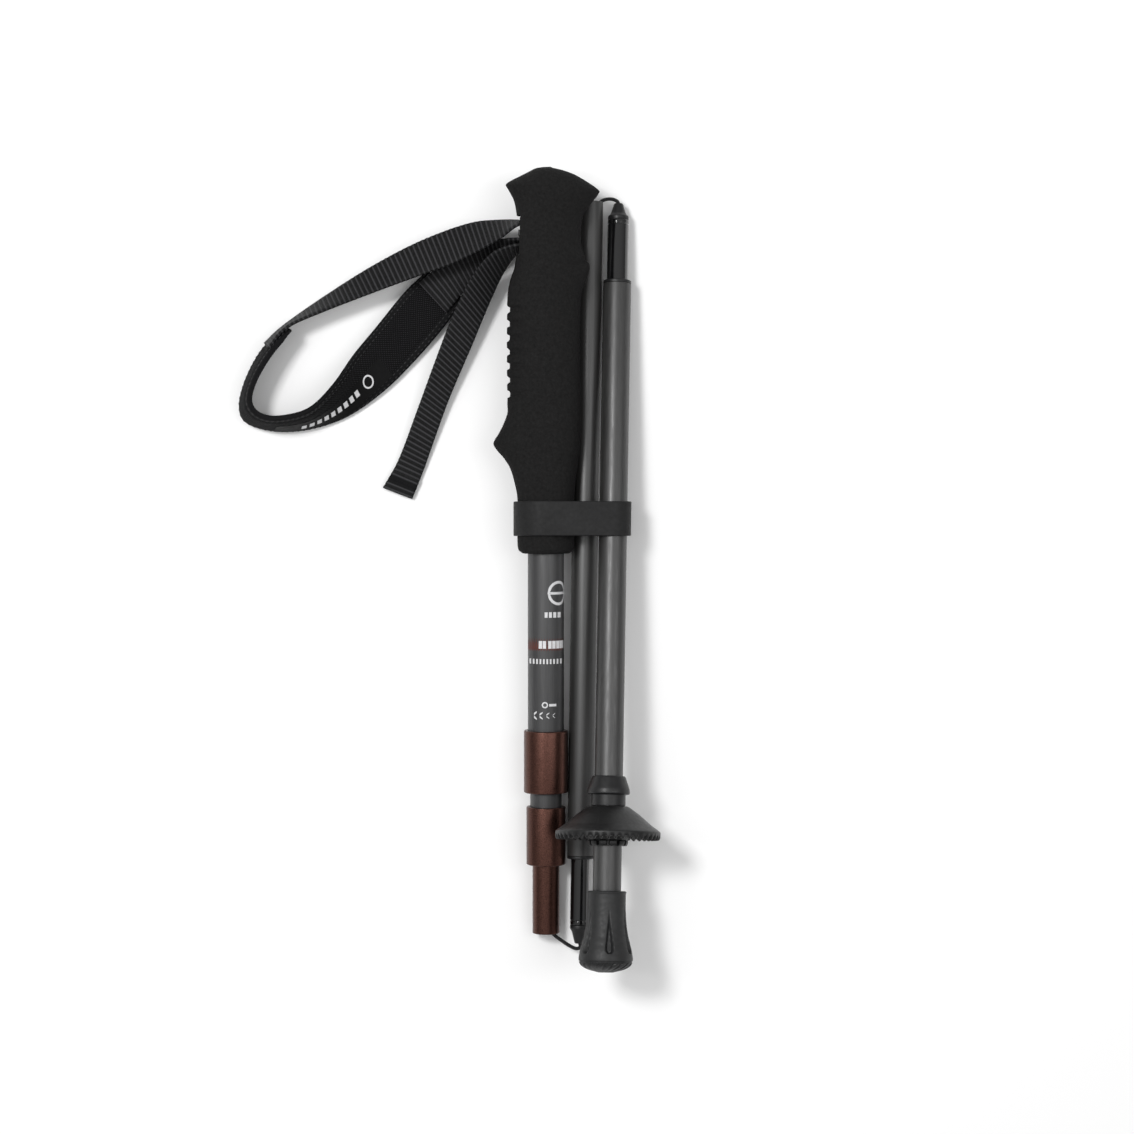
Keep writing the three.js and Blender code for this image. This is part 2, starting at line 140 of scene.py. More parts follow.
def grid_faces(rows, size, first=0, closed=False):
    """Quads between each ring of points and the next."""
    faces = []
    for i in range(rows if closed else rows - 1):
        faces += ring_faces(first + i * size, first + (i + 1) % rows * size, size)
    return faces


def rod_faces(rows, size, first=0):
    """The same with both ends filled in."""
    ends = [[first + j for j in range(size)][::-1], [first + (rows - 1) * size + j for j in range(size)]]
    return grid_faces(rows, size, first) + ends


def finish_mesh(name, vertices, faces, uvs=None, smooth_angle=35):
    mesh = bpy.data.meshes.new(name)
    mesh.from_pydata([tuple(v) for v in vertices], [], faces)
    if uvs:
        layer = mesh.uv_layers.new(name="UVMap")
        for loop in mesh.loops:
            layer.data[loop.index].uv = uvs[loop.vertex_index]
    mesh.validate()
    tidy = bmesh.new()
    tidy.from_mesh(mesh)
    bmesh.ops.remove_doubles(tidy, verts=tidy.verts, dist=1e-7)
    bmesh.ops.recalc_face_normals(tidy, faces=tidy.faces)
    tidy.to_mesh(mesh)
    tidy.free()
    mesh.polygons.foreach_set("use_smooth", [True] * len(mesh.polygons))
    mesh.set_sharp_from_angle(angle=math.radians(smooth_angle))
    piece = bpy.data.objects.new(name, mesh)
    bpy.context.scene.collection.objects.link(piece)
    return piece


def softened(profile, radius, arc=4, closed=False):
    """The same outline with each corner rounded; a point may carry its own radius as a third number."""
    count = len(profile)
    rounded = []
    for i, point in enumerate(profile):
        here = Vector(point[:2])
        own = point[2] if len(point) > 2 else radius
        if not closed and i in (0, count - 1):
            rounded.append(tuple(here))
            continue
        before = Vector(profile[i - 1][:2]) - here
        after = Vector(profile[(i + 1) % count][:2]) - here
        own = min(own, before.length * 0.45, after.length * 0.45)
        if own < 0.01:
            rounded.append(tuple(here))
            continue
        start = here + before.normalized() * own
        end = here + after.normalized() * own
        for step in range(arc + 1):
            t = step / arc
            rounded.append(tuple(start * (1 - t) ** 2 + here * 2 * t * (1 - t) + end * t ** 2))
    return rounded


def turned(name, profile, section_frame, radius=0.3, closed=False, steps=FINE, shape=None, arc=4):
    """A turned piece about its section's axis, from [radius, y] points. shape moves each point."""
    outline = softened(profile, radius, arc, closed)
    vertices, faces, uvs = [], [], []
    rows = []
    along = 0
    for i, (r, y) in enumerate(outline):
        if i:
            along += (Vector(outline[i]) - Vector(outline[i - 1])).length
        if r < 1e-6:
            rows.append([len(vertices)])
            vertices.append(Vector((0, y, 0)))
            uvs.append((0, along * MM))
            continue
        rows.append(list(range(len(vertices), len(vertices) + steps)))
        for j in range(steps):
            angle = TAU * j / steps
            vertices.append(Vector((r * math.cos(angle), y, r * math.sin(angle))))
            uvs.append((angle * r * MM, along * MM))
    pairs = list(zip(rows, rows[1:]))
    if closed:
        pairs.append((rows[-1], rows[0]))
    for low, high in pairs:
        for j in range(steps):
            k = (j + 1) % steps
            ring = [low[j % len(low)], low[k % len(low)], high[k % len(high)], high[j % len(high)]]
            face = list(dict.fromkeys(ring))
            if len(face) > 2:
                faces.append(face)
    if shape:
        vertices = [shape(v) for v in vertices]
    return finish_mesh(name, [section_frame @ (v * MM) for v in vertices], faces, uvs)


def pipe(name, outer, inner, low, high, section_frame, radius=0.25, **options):
    profile = [(outer, low), (outer, high), (inner, high), (inner, low)]
    return turned(name, profile, section_frame, radius, closed=True, **options)


def fit(name, profile, section_frame, body, look, slot, *nodes, **options):
    """A hollow turned piece, with its body and look, that hides the CAD nodes that it stands for."""
    piece = turned(name, profile, section_frame, closed=True, **options)
    return place(piece, body, look, slot, *nodes)


class Path:
    """A smooth curve through points, with getters by share of its length."""

    def __init__(self, points, samples=60):
        self.points = [Vector(p) for p in points]
        self.line = []
        last = len(self.points) - 1
        for i in range(last):
            a, b = self.points[i], self.points[i + 1]
            before = self.points[i - 1] if i else a * 2 - b
            after = self.points[i + 2] if i + 2 <= last else b * 2 - a
            for step in range(samples):
                self.line.append(self.between(before, a, b, after, step / samples))
        self.line.append(self.points[-1])
        self.reach = [0.0]
        for a, b in zip(self.line, self.line[1:]):
            self.reach.append(self.reach[-1] + (b - a).length)
        self.length = self.reach[-1]

    @staticmethod
    def between(before, a, b, after, t):
        gaps = [max(math.sqrt((q - p).length), 1e-4) for p, q in ((before, a), (a, b), (b, after))]
        leave = ((a - before) / gaps[0] - (b - before) / (gaps[0] + gaps[1]) + (b - a) / gaps[1]) * gaps[1]
        enter = ((b - a) / gaps[1] - (after - a) / (gaps[1] + gaps[2]) + (after - b) / gaps[2]) * gaps[1]
        square, cube = t * t, t * t * t
        return (a * (2 * cube - 3 * square + 1) + leave * (cube - 2 * square + t)
                + b * (3 * square - 2 * cube) + enter * (cube - square))

    def at(self, share):
        target = min(max(share, 0), 1) * self.length
        low, high = 0, len(self.reach) - 1
        while high - low > 1:
            half = (low + high) // 2
            if self.reach[half] <= target:
                low = half
            else:
                high = half
        span = self.reach[high] - self.reach[low]
        return self.line[low].lerp(self.line[high], (target - self.reach[low]) / span if span else 0)

    def tangent(self, share, step=0.004):
        return (self.at(share + step) - self.at(share - step)).normalized()


class Strip:
    """A flat strap between two edges, in millimetres in the bundle's frame."""

    def __init__(self, first, second):
        self.first, self.second = Path(first), Path(second)
        self.length = (self.first.length + self.second.length) / 2

    def frame(self, share):
        a, b = self.first.at(share), self.second.at(share)
        forward = (self.first.tangent(share) + self.second.tangent(share)).normalized()
        width = b - a
        normal = width.cross(forward).normalized()
        return a, width, normal

    def point(self, share, across, lift):
        a, width, normal = self.frame(share)
        return a + width * across + normal * lift


def strip_piece(name, strip, outline, start=0.0, end=1.0, step=0.3, shape=None):
    """Sweeps an outline of (share across, lift) points along a strip. shape changes a point by place."""
    count = max(4, round(strip.length * (end - start) / step))
    vertices, uvs = [], []
    for i in range(count + 1):
        share = start + (end - start) * i / count
        a, width, normal = strip.frame(share)
        along = share * strip.length
        for across, lift in outline:
            if shape:
                across, lift = shape(along, across, lift)
            vertices.append(bundle_point(a + width * across + normal * lift))
            uvs.append((across * width.length * MM, along * MM))
    return finish_mesh(name, vertices, rod_faces(count + 1, len(outline)), uvs, 50)


def cord_piece(name, points, radius, steps_per_mm=3, sides=20):
    """A round cord through points in the bundle's frame."""
    path = Path(points)
    count = round(path.length * steps_per_mm)
    vertices, uvs = [], []
    side = Vector((0, 0, 1))
    for i in range(count + 1):
        share = i / count
        forward = path.tangent(share)
        side = (side - forward * side.dot(forward)).normalized()
        other = forward.cross(side)
        centre = path.at(share)
        for j in range(sides):
            angle = TAU * j / sides
            offset = side * math.cos(angle) + other * math.sin(angle)
            vertices.append(bundle_point(centre + offset * radius))
            uvs.append((j / sides, share * path.length * MM))
    return finish_mesh(name, vertices, rod_faces(count + 1, sides), uvs)


def place(piece, body, look, slot, *nodes):
    """Gives a piece its material and its body, and hides the CAD nodes that it stands for. The slot is not
    used.
    """
    looks = look if isinstance(look, (list, tuple)) else [look]
    if not piece.data.materials:
        for each in looks:
            piece.data.materials.append(each)
    if body:
        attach(piece, body)
    if nodes:
        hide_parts(*nodes)
    return piece


# ---- Materials -------------------------------------------------------------------------------------
class Look:
    """A principled material with helpers that add procedural detail."""

    def __init__(self, name, color, roughness, metallic=0.0, specular=0.5):
        self.material = bpy.data.materials.new(name)
        self.material.use_nodes = True
        self.tree = self.material.node_tree
        self.shader = self.tree.nodes["Principled BSDF"]
        self.color = color
        self.set("Base Color", (*color, 1))
        self.set("Roughness", roughness)
        self.set("Metallic", metallic)
        self.set("Specular IOR Level", specular)

    def set(self, socket, value):
        self.shader.inputs[socket].default_value = value
        return self

    def node(self, kind, **inputs):
        made = self.tree.nodes.new(kind)
        for key, value in inputs.items():
            made.inputs[key.replace("_", " ")].default_value = value
        return made

    def link(self, source, target):
        self.tree.links.new(source, target)

    def coordinates(self, scale):
        where = self.tree.nodes.new("ShaderNodeTexCoord")
        mapping = self.node("ShaderNodeMapping")
        mapping.inputs["Scale"].default_value = scale
        self.link(where.outputs["Object"], mapping.inputs["Vector"])
        return mapping.outputs["Vector"]

    def noise(self, scale, detail=4.0, roughness=0.6):
        """Noise of one scale, or of three for a grain that runs one way."""
        if isinstance(scale, int):
            scale = (scale, scale, scale)
        texture = self.node("ShaderNodeTexNoise", Scale=1.0, Detail=detail, Roughness=roughness)
        self.link(self.coordinates(scale), texture.inputs["Vector"])
        return texture.outputs["Fac"]

    def math(self, operation, first, second=None):
        made = self.tree.nodes.new("ShaderNodeMath")
        made.operation = operation
        for index, value in enumerate((first, second)):
            if value is None:
                continue
            if isinstance(value, (int, float)):
                made.inputs[index].default_value = value
            else:
                self.link(value, made.inputs[index])
        return made.outputs[0]

    def uv(self):
        where = self.tree.nodes.new("ShaderNodeTexCoord")
        parts = self.tree.nodes.new("ShaderNodeSeparateXYZ")
        self.link(where.outputs["UV"], parts.inputs[0])
        return parts.outputs[0], parts.outputs[1]

    def wave(self, value, pitch_mm, shift=0.0):
        turned_value = self.math("MULTIPLY", value, TAU / (pitch_mm * MM))
        if shift:
            turned_value = self.math("ADD", turned_value, shift)
        return self.math("SINE", turned_value)

    def bump(self, height, strength, distance_mm):
        made = self.node("ShaderNodeBump", Strength=strength, Distance=distance_mm * MM)
        self.link(height, made.inputs["Height"])
        if self.shader.inputs["Normal"].links:
            self.link(self.shader.inputs["Normal"].links[0].from_socket, made.inputs["Normal"])
        self.link(made.outputs["Normal"], self.shader.inputs["Normal"])
        return self

    def ramp(self, factor, low, high):
        made = self.node("ShaderNodeMapRange", From_Min=0.3, From_Max=0.7, To_Min=low, To_Max=high)
        self.link(factor, made.inputs["Value"])
        return made.outputs["Result"]

    def tint(self, factor, darker, lighter):
        """Varies the colour between two shares of its own brightness."""
        scale = self.ramp(factor, darker, lighter)
        mix = self.tree.nodes.new("ShaderNodeVectorMath")
        mix.operation = "SCALE"
        mix.inputs[0].default_value = self.color
        self.link(scale, mix.inputs["Scale"])
        self.link(mix.outputs[0], self.shader.inputs["Base Color"])
        return self

    def uneven(self, factor, low, high):
        self.link(self.ramp(factor, low, high), self.shader.inputs["Roughness"])
        return self


def foam_look():
    look = Look("eva_foam_look", (0.0094, 0.0092, 0.0092), 0.95, specular=0.14)
    grain = look.noise(2600, 3)
    look.tint(look.noise(700, 8, 0.85), 0.45, 1.75)
    look.bump(grain, 0.7, 0.15)
    look.bump(look.noise(420, 3), 0.35, 0.25)
    return look.material


def carbon_look(name, color, roughness):
    look = Look(name, color, roughness, specular=0.75)
    streaks = look.noise((1500, 14, 1500), 5, 0.65)
    look.tint(streaks, 0.72, 1.3)
    look.uneven(look.noise((900, 20, 900), 3), roughness - 0.07, roughness + 0.08)
    look.bump(streaks, 0.18, 0.05)
    look.bump(look.noise(2200, 2), 0.08, 0.03)
    return look.material


def bronze_look(name, fine):
    look = Look(name, (0.078, 0.037, 0.029), 0.3, 1.0)
    sparkle = look.noise(3200, 2, 0.8)
    look.tint(sparkle, 0.5, 1.9)
    look.uneven(look.noise(1500, 3), 0.26, 0.42)
    look.bump(sparkle, fine, 0.06)
    return look.material


def gloss_look():
    look = Look("gloss_black_look", (0.0035, 0.0035, 0.0038), 0.09, specular=0.6)
    look.uneven(look.noise((300, 40, 300), 4), 0.07, 0.14)
    look.set("Coat Weight", 0.4)
    look.set("Coat Roughness", 0.04)
    look.bump(look.noise((500, 60, 500), 2), 0.03, 0.02)
    return look.material


def moulded_look(name, color, roughness, grain=0.1, specular=0.4):
    look = Look(name, color, roughness, specular=specular)
    look.tint(look.noise(240, 5, 0.7), 0.8, 1.25)
    look.uneven(look.noise(600, 4), roughness - 0.06, roughness + 0.1)
    look.bump(look.noise(3000, 3), grain, 0.04)
    look.bump(look.noise(160, 2), 0.06, 0.1)
    return look.material


def webbing_look():
    look = Look("webbing_look", (0.0062, 0.0062, 0.0066), 0.6, specular=0.13)
    across, along = look.uv()
    warp = look.wave(across, 0.55)
    weft = look.wave(along, 0.42)
    weave = look.math("MULTIPLY", warp, weft)
    # The rib crests are painted lighter as a painted highlight and the grooves between them darker as painted
    # shade; the grain adds random tone.
    ridge = look.math("MULTIPLY", look.math("ADD", look.wave(along, RIB_PITCH, math.pi / 2), 1.0), 0.5)
    crest_highlight = look.math("MULTIPLY", look.math("POWER", ridge, 4.0), 0.4)
    grain = look.math("MULTIPLY", look.noise((1800, 500, 1800), 5, 0.75), 0.3)
    look.tint(look.math("ADD", look.math("ADD", crest_highlight, grain), 0.18), 0.3, 6.0)
    look.bump(weave, 0.35, 0.07)
    look.bump(look.noise(4000, 2), 0.3, 0.05)
    return look.material


def mesh_fabric_look():
    """Spacer mesh: staggered little holes between raised knitted ribs."""
    look = Look("pad_mesh_look", (0.0055, 0.0055, 0.0059), 0.85, specular=0.12)
    across, along = look.uv()
    holes = look.math("MULTIPLY", look.wave(across, 1.15), look.wave(along, 1.3))
    open_share = look.math("MAXIMUM", holes, 0.0)
    depth = look.math("MULTIPLY", open_share, -1.0)
    knots = look.math("POWER", open_share, 2.0)
    bright = look.math("ADD", look.math("MULTIPLY", knots, 0.45), 0.28)
    look.tint(bright, 0.5, 7.0)
    look.bump(depth, 0.9, 0.35)
    look.bump(look.noise(3500, 3), 0.35, 0.06)
    return look.material


def binding_look():
    look = Look("pad_binding_look", (0.0042, 0.0042, 0.0046), 0.7, specular=0.1)
    along = look.uv()[1]
    look.bump(look.wave(along, 0.5), 0.25, 0.05)
    look.tint(look.noise(1500, 4, 0.7), 0.75, 1.5)
    look.bump(look.noise(3600, 2), 0.2, 0.04)
    return look.material


def cord_look():
    look = Look("cord_look", (0.008, 0.008, 0.0085), 0.65, specular=0.35)
    across, along = look.uv()
    around = look.math("MULTIPLY", across, TAU * 6)
    down = look.math("MULTIPLY", along, TAU / (1.6 * MM))
    one = look.math("SINE", look.math("ADD", around, down))
    other = look.math("SINE", look.math("SUBTRACT", around, down))
    look.bump(look.math("MAXIMUM", one, other), 0.6, 0.12)
    look.tint(look.noise(2500, 3), 0.7, 1.5)
    return look.material


def thread_look():
    look = Look("thread_look", (0.016, 0.016, 0.017), 0.6, specular=0.35)
    look.tint(look.noise(2500, 3), 0.7, 1.4)
    look.bump(look.noise(5000, 2), 0.3, 0.03)
    return look.material


def print_look(name, color):
    look = Look(name, color, 0.55, specular=0.4)
    look.tint(look.noise(700, 6, 0.8), 0.82, 1.08)
    look.uneven(look.noise(900, 3), 0.48, 0.62)
    return look.material


def steel_look(name, color, roughness):
    look = Look(name, color, roughness, 1.0)
    look.tint(look.noise(900, 4), 0.8, 1.1)
    look.bump(look.noise((60, 4000, 60), 3), 0.1, 0.02)
    return look.material


FOAM = foam_look()
CARBON = carbon_look("carbon_upper_look", (0.0225, 0.0225, 0.0236), 0.46)
CARBON_FOLDING = carbon_look("carbon_folding_look", (0.0205, 0.0203, 0.02), 0.43)
BRONZE = bronze_look("bronze_look", 0.45)
BRONZE_TUBE = bronze_look("bronze_tube_look", 0.3)
GLOSS = gloss_look()
BLACK = moulded_look("black_plastic_look", (0.007, 0.007, 0.0075), 0.42)
NYLON = moulded_look("nylon_look", (0.55, 0.53, 0.47), 0.45)
BASKET = moulded_look("basket_look", (0.005, 0.005, 0.0052), 0.42, 0.08, 0.4)
BAND = moulded_look("storage_strap_look", (0.0093, 0.0093, 0.0096), 0.62, 0.14, 0.25)
RUBBER = moulded_look("tip_rubber_look", (0.0105, 0.0108, 0.0112), 0.52, 0.12, 0.4)
RIBBED = webbing_look()
MESH = mesh_fabric_look()
BINDING = binding_look()
CORD = cord_look()
THREAD = thread_look()
WHITE_PRINT = print_look("white_print_look", (0.62, 0.62, 0.63))
RUST_PRINT = print_look("rust_print_look", (0.085, 0.021, 0.014))
PATCH = moulded_look("patch_look", (0.0032, 0.0032, 0.0034), 0.6, 0.05, 0.12)
STEEL = steel_look("steel_look", (0.55, 0.55, 0.56), 0.25)
CARBIDE = steel_look("carbide_look", (0.18, 0.18, 0.19), 0.35)


# ---- Grip ------------------------------------------------------------------------------------------
# Each station is y, reach towards -X, reach towards +X, half depth in Z.
GRIP_STATIONS = [
    (0, 1.5, 3.5, 2.8), (-0.7, 4.4, 7.6, 6.4), (-2.1, 6.9, 12.4, 9.4), (-4.7, 11.4, 17.7, 12.2),
    (-7.2, 15.8, 21.9, 13.4), (-8.7, 17.6, 23.7, 13.8), (-9.4, 17.5, 23.6, 13.8), (-11.4, 16.2, 22.4, 13.7),
    (-15, 14.1, 20, 13.2), (-20.5, 12.9, 16.6, 12.8),
    (-28, 12.6, 15.3, 12.8), (-36, 12.8, 16.2, 13.4), (-41.5, 13.4, 19.0, 14.2), (-44.5, 14, 19.4, 14.4),
    (-49, 15.6, 18, 14.4), (-55, 16.8, 15.9, 14.2), (-64, 17.1, 15.3, 14), (-85, 17.2, 15.2, 13.8),
    (-104, 17, 15.6, 13.7), (-108, 17, 15.6, 13.6), (-112.5, 18.6, 15.6, 13.4), (-117, 20.8, 15.4, 13.2),
    (-121.3, 23.2, 15.2, 13), (-124, 22, 15, 12.9), (-128.5, 18.2, 14.4, 12.7), (-133, 15.6, 13.8, 12.6),
    (-140, 13.6, 13, 12.5), (-146, GRIP_SLEEVE, GRIP_SLEEVE, 12.5), (-165.5, GRIP_SLEEVE, GRIP_SLEEVE, 12.5),
    (-168.8, 12, 12, 11.9), (-170, 10.4, 10.4, 10.4),
]
GROOVES, GROOVE_TOP, GROOVE_PITCH, GROOVE_DEPTH = 7, -62.5, 6.2, 1.25
CREASE_Y, CREASE_DEPTH = -41.2, 1.3
# The head leans: its corner towards -X sits higher than the one towards +X.
HEAD_LEAN, LEAN_START = 0.07, -21


def between_stations(y):
    """The grip's three reaches at a height, on a smooth curve through the stations."""
    rows = GRIP_STATIONS
    index = next((i for i in range(len(rows) - 1) if rows[i][0] >= y >= rows[i + 1][0]), len(rows) - 2)
    picks = [rows[max(index - 1, 0)], rows[index], rows[index + 1], rows[min(index + 2, len(rows) - 1)]]
    t = (picks[1][0] - y) / (picks[1][0] - picks[2][0])
    found = []
    for k in (1, 2, 3):
        a, b, c, d = (Vector((row[0], row[k])) for row in picks)
        leave = (c.y - a.y) / (c.x - a.x) if a.x != c.x else 0
        enter = (d.y - b.y) / (d.x - b.x) if d.x != b.x else 0
        span = c.x - b.x
        found.append(b.y * (1 + t * t * (2 * t - 3)) + leave * span * t * (1 - t) ** 2
                     + c.y * t * t * (3 - 2 * t) - enter * span * t * t * (1 - t))
    return found


def groove(y, angle):
    """How deep the finger grooves go at this height and angle round the grip."""
    facing = max(0.0, -math.cos(angle))
    fade = clamp((facing - 0.45) / 0.3)
    depth = 0.0
    for i in range(GROOVES):
        off = abs(y - (GROOVE_TOP - i * GROOVE_PITCH))
        depth = max(depth, clamp((1.75 - off) / 0.75))
    return GROOVE_DEPTH * eased(depth) * fade


def crease(y, angle):
    """The fold line where the palm swell starts, on the side towards +X."""
    line = CREASE_Y - 1.6 * math.sin(angle * 2) ** 2
    fade = clamp((math.cos(angle) + 0.15) / 0.5)
    return CREASE_DEPTH * math.exp(-abs((y - line) / (0.4 if y < line else 1.8)) ** 1.5) * fade


def grip_surface(y, angle):
    left, right, depth = between_stations(y)
    reach = left if math.cos(angle) < 0 else right
    inset = groove(y, angle) + crease(y, angle)
    # The neck is squarer where the slot goes in.
    square = 1 - 0.3 * math.exp(-((y + 30) / 11) ** 4) * (math.cos(angle) < 0)
    x = math.copysign(abs(math.cos(angle)) ** square, math.cos(angle)) * (reach - inset)
    z = math.copysign(abs(math.sin(angle)) ** square, math.sin(angle)) * (depth - inset * 0.6)
    lean = HEAD_LEAN * clamp((y - LEAN_START) / 10)
    return Vector((x, y - lean * x, z))


def make_grip():
    around = 128
    low, high = GRIP_STATIONS[-1][0], GRIP_STATIONS[0][0]
    slices = 290
    heights = [high - (high - low) * i / slices for i in range(slices + 1)]
    vertices = [grip_surface(y, TAU * j / around) for y in heights for j in range(around)]
    faces = grid_faces(len(heights), around)
    last = len(heights) - 1
    top = len(vertices)
    vertices.append(Vector((2.0, high + 0.35, 0)))
    for j in range(around):
        faces.append([j, top, (j + 1) % around])
    mouth = len(vertices)
    for radius, y in ((8.25, low), (8.25, GRIP_TUBE_TOP + 0.1)):
        vertices += [Vector((radius * math.cos(TAU * j / around), y, radius * math.sin(TAU * j / around)))
                     for j in range(around)]
    faces += ring_faces(last * around, mouth, around) + ring_faces(mouth, mouth + around, around)
    faces.append([mouth + around + j for j in range(around)])
    grip = finish_mesh("foam_grip", [UPPER @ (v * MM) for v in vertices], faces, None, 60)
    open_slot(grip)
    place(grip, "handle", FOAM, "eva_foam", "grip_foam")
    make_slot_lining()


def make_slot_lining():
    """The moulded socket that lines the slot in the grip."""
    outline = []
    for x, inset in ((-10.4, 0.12), (-3.1, 0.12), (-3.9, 0.7), (-10.2, 0.7)):
        half, low, high = SLOT_HALF - inset, SLOT_BOTTOM + inset, SLOT_TOP - inset
        outline.append([(x, low, -half), (x, low, half), (x, high, half), (x, high, -half)])
    vertices = [UPPER @ (Vector(point) * MM) for ring in outline for point in ring]
    faces = [[4, 5, 6, 7][::-1], [8, 9, 10, 11]]
    for start, end in ((0, 4), (12, 8), (0, 12)):
        faces += ring_faces(start, end, 4)
    lining = finish_mesh("slot_lining", vertices, faces)
    place(lining, "handle", BLACK, "black_plastic", "grip_core")


def open_slot(grip):
    """Sinks a slot into the side of the grip, where the wrist strap goes in."""
    back = UPPER.inverted()
    shape = bmesh.new()
    shape.from_mesh(grip.data)
    chosen = []
    for face in shape.faces:
        local = (back @ face.calc_center_median()) / MM
        if local.x < -6 and SLOT_BOTTOM < local.y < SLOT_TOP and abs(local.z) < SLOT_HALF:
            chosen.append(face)
    rim = bmesh.ops.extrude_face_region(shape, geom=chosen)
    bmesh.ops.delete(shape, geom=chosen, context="FACES")
    moved = [item for item in rim["geom"] if isinstance(item, bmesh.types.BMVert)]
    for vertex in moved:
        local = (back @ vertex.co) / MM
        vertex.co = UPPER @ (Vector((-3.0, local.y, local.z)) * MM)
    bmesh.ops.recalc_face_normals(shape, faces=shape.faces)
    shape.to_mesh(grip.data)
    shape.free()
    grip.data.set_sharp_from_angle(angle=math.radians(60))


# ---- Upper section ---------------------------------------------------------------------------------
def make_upper_tubes():
    shell = pipe("upper_tube_shell", 8.0, 7.2, UPPER_TUBE_BOTTOM, GRIP_TUBE_TOP, UPPER)
    place(shell, "handle", CARBON, "carbon", "upper_tube")
    place(pipe("inner_tube_shell", 7.0, 6.3, *INNER_TUBE, UPPER), "inner", CARBON, "carbon", "inner_tube")
    low, high = TENSION_TUBE
    ferrule = [(6.0, low, 0.35), (6.0, high, 0.3), (5.2, high, 0.1), (5.2, low + 2.2, 0.1), (5.35, low, 0.25)]
    fit("tension_tube_shell", ferrule, UPPER, "tension", BRONZE_TUBE, "bronze_anodised", "tension_tube")


def collar(name, outer, span, seat, body, node):
    """A twist-lock collar: a plain sleeve, open at the top over one tube and at the bottom round the next."""
    low, high = span
    upper_bore, room, lower_bore = seat
    bevel = 0.35
    outside = [(outer - bevel, low, 0.1), (outer, low + bevel, 0.1), (outer, high - bevel, 0.1),
               (outer - bevel, high, 0.1)]
    inside = [(upper_bore, high, 0.2), (upper_bore, high - 4.4, 0.1), (room, high - 4.8, 0.1),
              (room, low + 3.6, 0.2), (lower_bore, low + 3.2, 0.1), (lower_bore, low, 0.2)]
    fit(name, outside + inside, UPPER, body, BRONZE, "bronze_anodised", node)


def make_collars():
    collar("upper_lock_sleeve", 9.8, UPPER_COLLAR, (8.2, 8.55, 7.25), "upper_collar", "lock_collar_upper")
    collar("lower_lock_sleeve", 8.7, LOWER_COLLAR, (7.2, 7.6, 6.25), "lower_collar", "lock_collar_lower")


# ---- Folding sections ------------------------------------------------------------------------------
def nose_profile(rim, wide, end):
    """A hollow nose from its wide end to its tip: a short collar, then a straight cone."""
    way = 1 if end > wide else -1
    outside = [(rim, wide, 0.15), (rim, wide + way * 1.4, 0.2), (3.5, wide + way * 2.6, 0.3),
               (3.2, wide + way * 3.3, 0.6), (2.1, end - way * 0.5, 0.3), (1.8, end, 0.2)]
    return outside + [(1.2, end, 0.2), (1.2, wide, 0.1)]


def make_middle():
    end = -MIDDLE_LENGTH
    insert_end = end - SHOULDER - MIDDLE_INSERT
    outer = MIDDLE_TUBE[0]
    shell = pipe("middle_tube_shell", *MIDDLE_TUBE, end, 0, MIDDLE)
    place(shell, "middle", CARBON_FOLDING, "carbon", "middle_tube")
    ring = [(outer, end - SHOULDER, 0.35), (outer, end - 0.1, 0.15), (4.3, end - 0.1, 0.1),
            (4.3, end - SHOULDER, 0.1)]
    fit("middle_shoulder", ring, MIDDLE, "middle", BLACK, "black_plastic", "middle_shoulder_ring")
    insert = [(3.9, insert_end, 0.15), (4.17, insert_end + 0.35, 0.15), (4.17, insert_end + 1.6, 0.1),
              (3.95, insert_end + 1.8, 0.1), (3.95, insert_end + 2.2, 0.1), (4.17, insert_end + 2.4, 0.1),
              (4.17, end + 0.3, 0.1), (4.85, end + 0.3, 0.1), (4.85, end + INSERT_DEPTH, 0.3),
              (2.6, end + INSERT_DEPTH, 0.1), (2.6, insert_end, 0.1)]
    fit("middle_insert_tube", insert, MIDDLE, "middle", GLOSS, "gloss_black", "middle_insert")
    nose = nose_profile(4.15, insert_end - 0.1, insert_end - MIDDLE_NOSE)
    fit("middle_nose_cone", nose, MIDDLE, "middle", BLACK, "black_plastic", "middle_nose")


def make_middle_cord():
    """The cord inside the middle tube. It stops well short of the mouth, where the loop comes out."""
    low = -MIDDLE_LENGTH - SHOULDER - MIDDLE_INSERT - MIDDLE_NOSE + 1
    high = -101
    outline = [(0, low), (CORD_RADIUS, low), (CORD_RADIUS, high), (0, high)]
    cord = turned("cord_through_middle", outline, MIDDLE, steps=20)
    place(cord, "middle_cord", CORD, "cord", "cord_middle_run")


def make_lower():
    insert_top = -LOWER_NOSE
    shoulder = insert_top - LOWER_INSERT
    nose = nose_profile(4.6, insert_top + 0.1, 0)
    fit("lower_nose_cone", nose, LOWER, "lower", BLACK, "black_plastic", "lower_nose")
    insert_end = LOWER_TOP - INSERT_DEPTH
    insert = [(4.9, insert_end, 0.3), (4.9, LOWER_TOP - 0.3, 0.1), (4.75, LOWER_TOP - 0.3, 0.1),
              (4.75, insert_top - 2.4, 0.1), (4.5, insert_top - 2.2, 0.1), (4.5, insert_top - 1.8, 0.1),
              (4.75, insert_top - 1.6, 0.1), (4.75, insert_top - 0.35, 0.15), (4.45, insert_top, 0.15),
              (3, insert_top, 0.1), (3, insert_end, 0.1)]
    fit("lower_insert_tube", insert, LOWER, "lower", GLOSS, "gloss_black", "lower_insert")
    outer = LOWER_TUBE[0]
    ring = [(outer, LOWER_TOP + 0.1, 0.15), (outer, shoulder, 0.35), (4.85, shoulder, 0.1),
            (4.85, LOWER_TOP + 0.1, 0.1)]
    fit("lower_shoulder", ring, LOWER, "lower", BLACK, "black_plastic", "lower_shoulder_ring")
    shell = pipe("lower_tube_shell", *LOWER_TUBE, LOWER_TUBE_END, LOWER_TOP, LOWER)
    place(shell, "lower", CARBON_FOLDING, "carbon", "lower_tube")


# ---- Foot ------------------------------------------------------------------------------------------
TEETH, RIBS = 44, 12


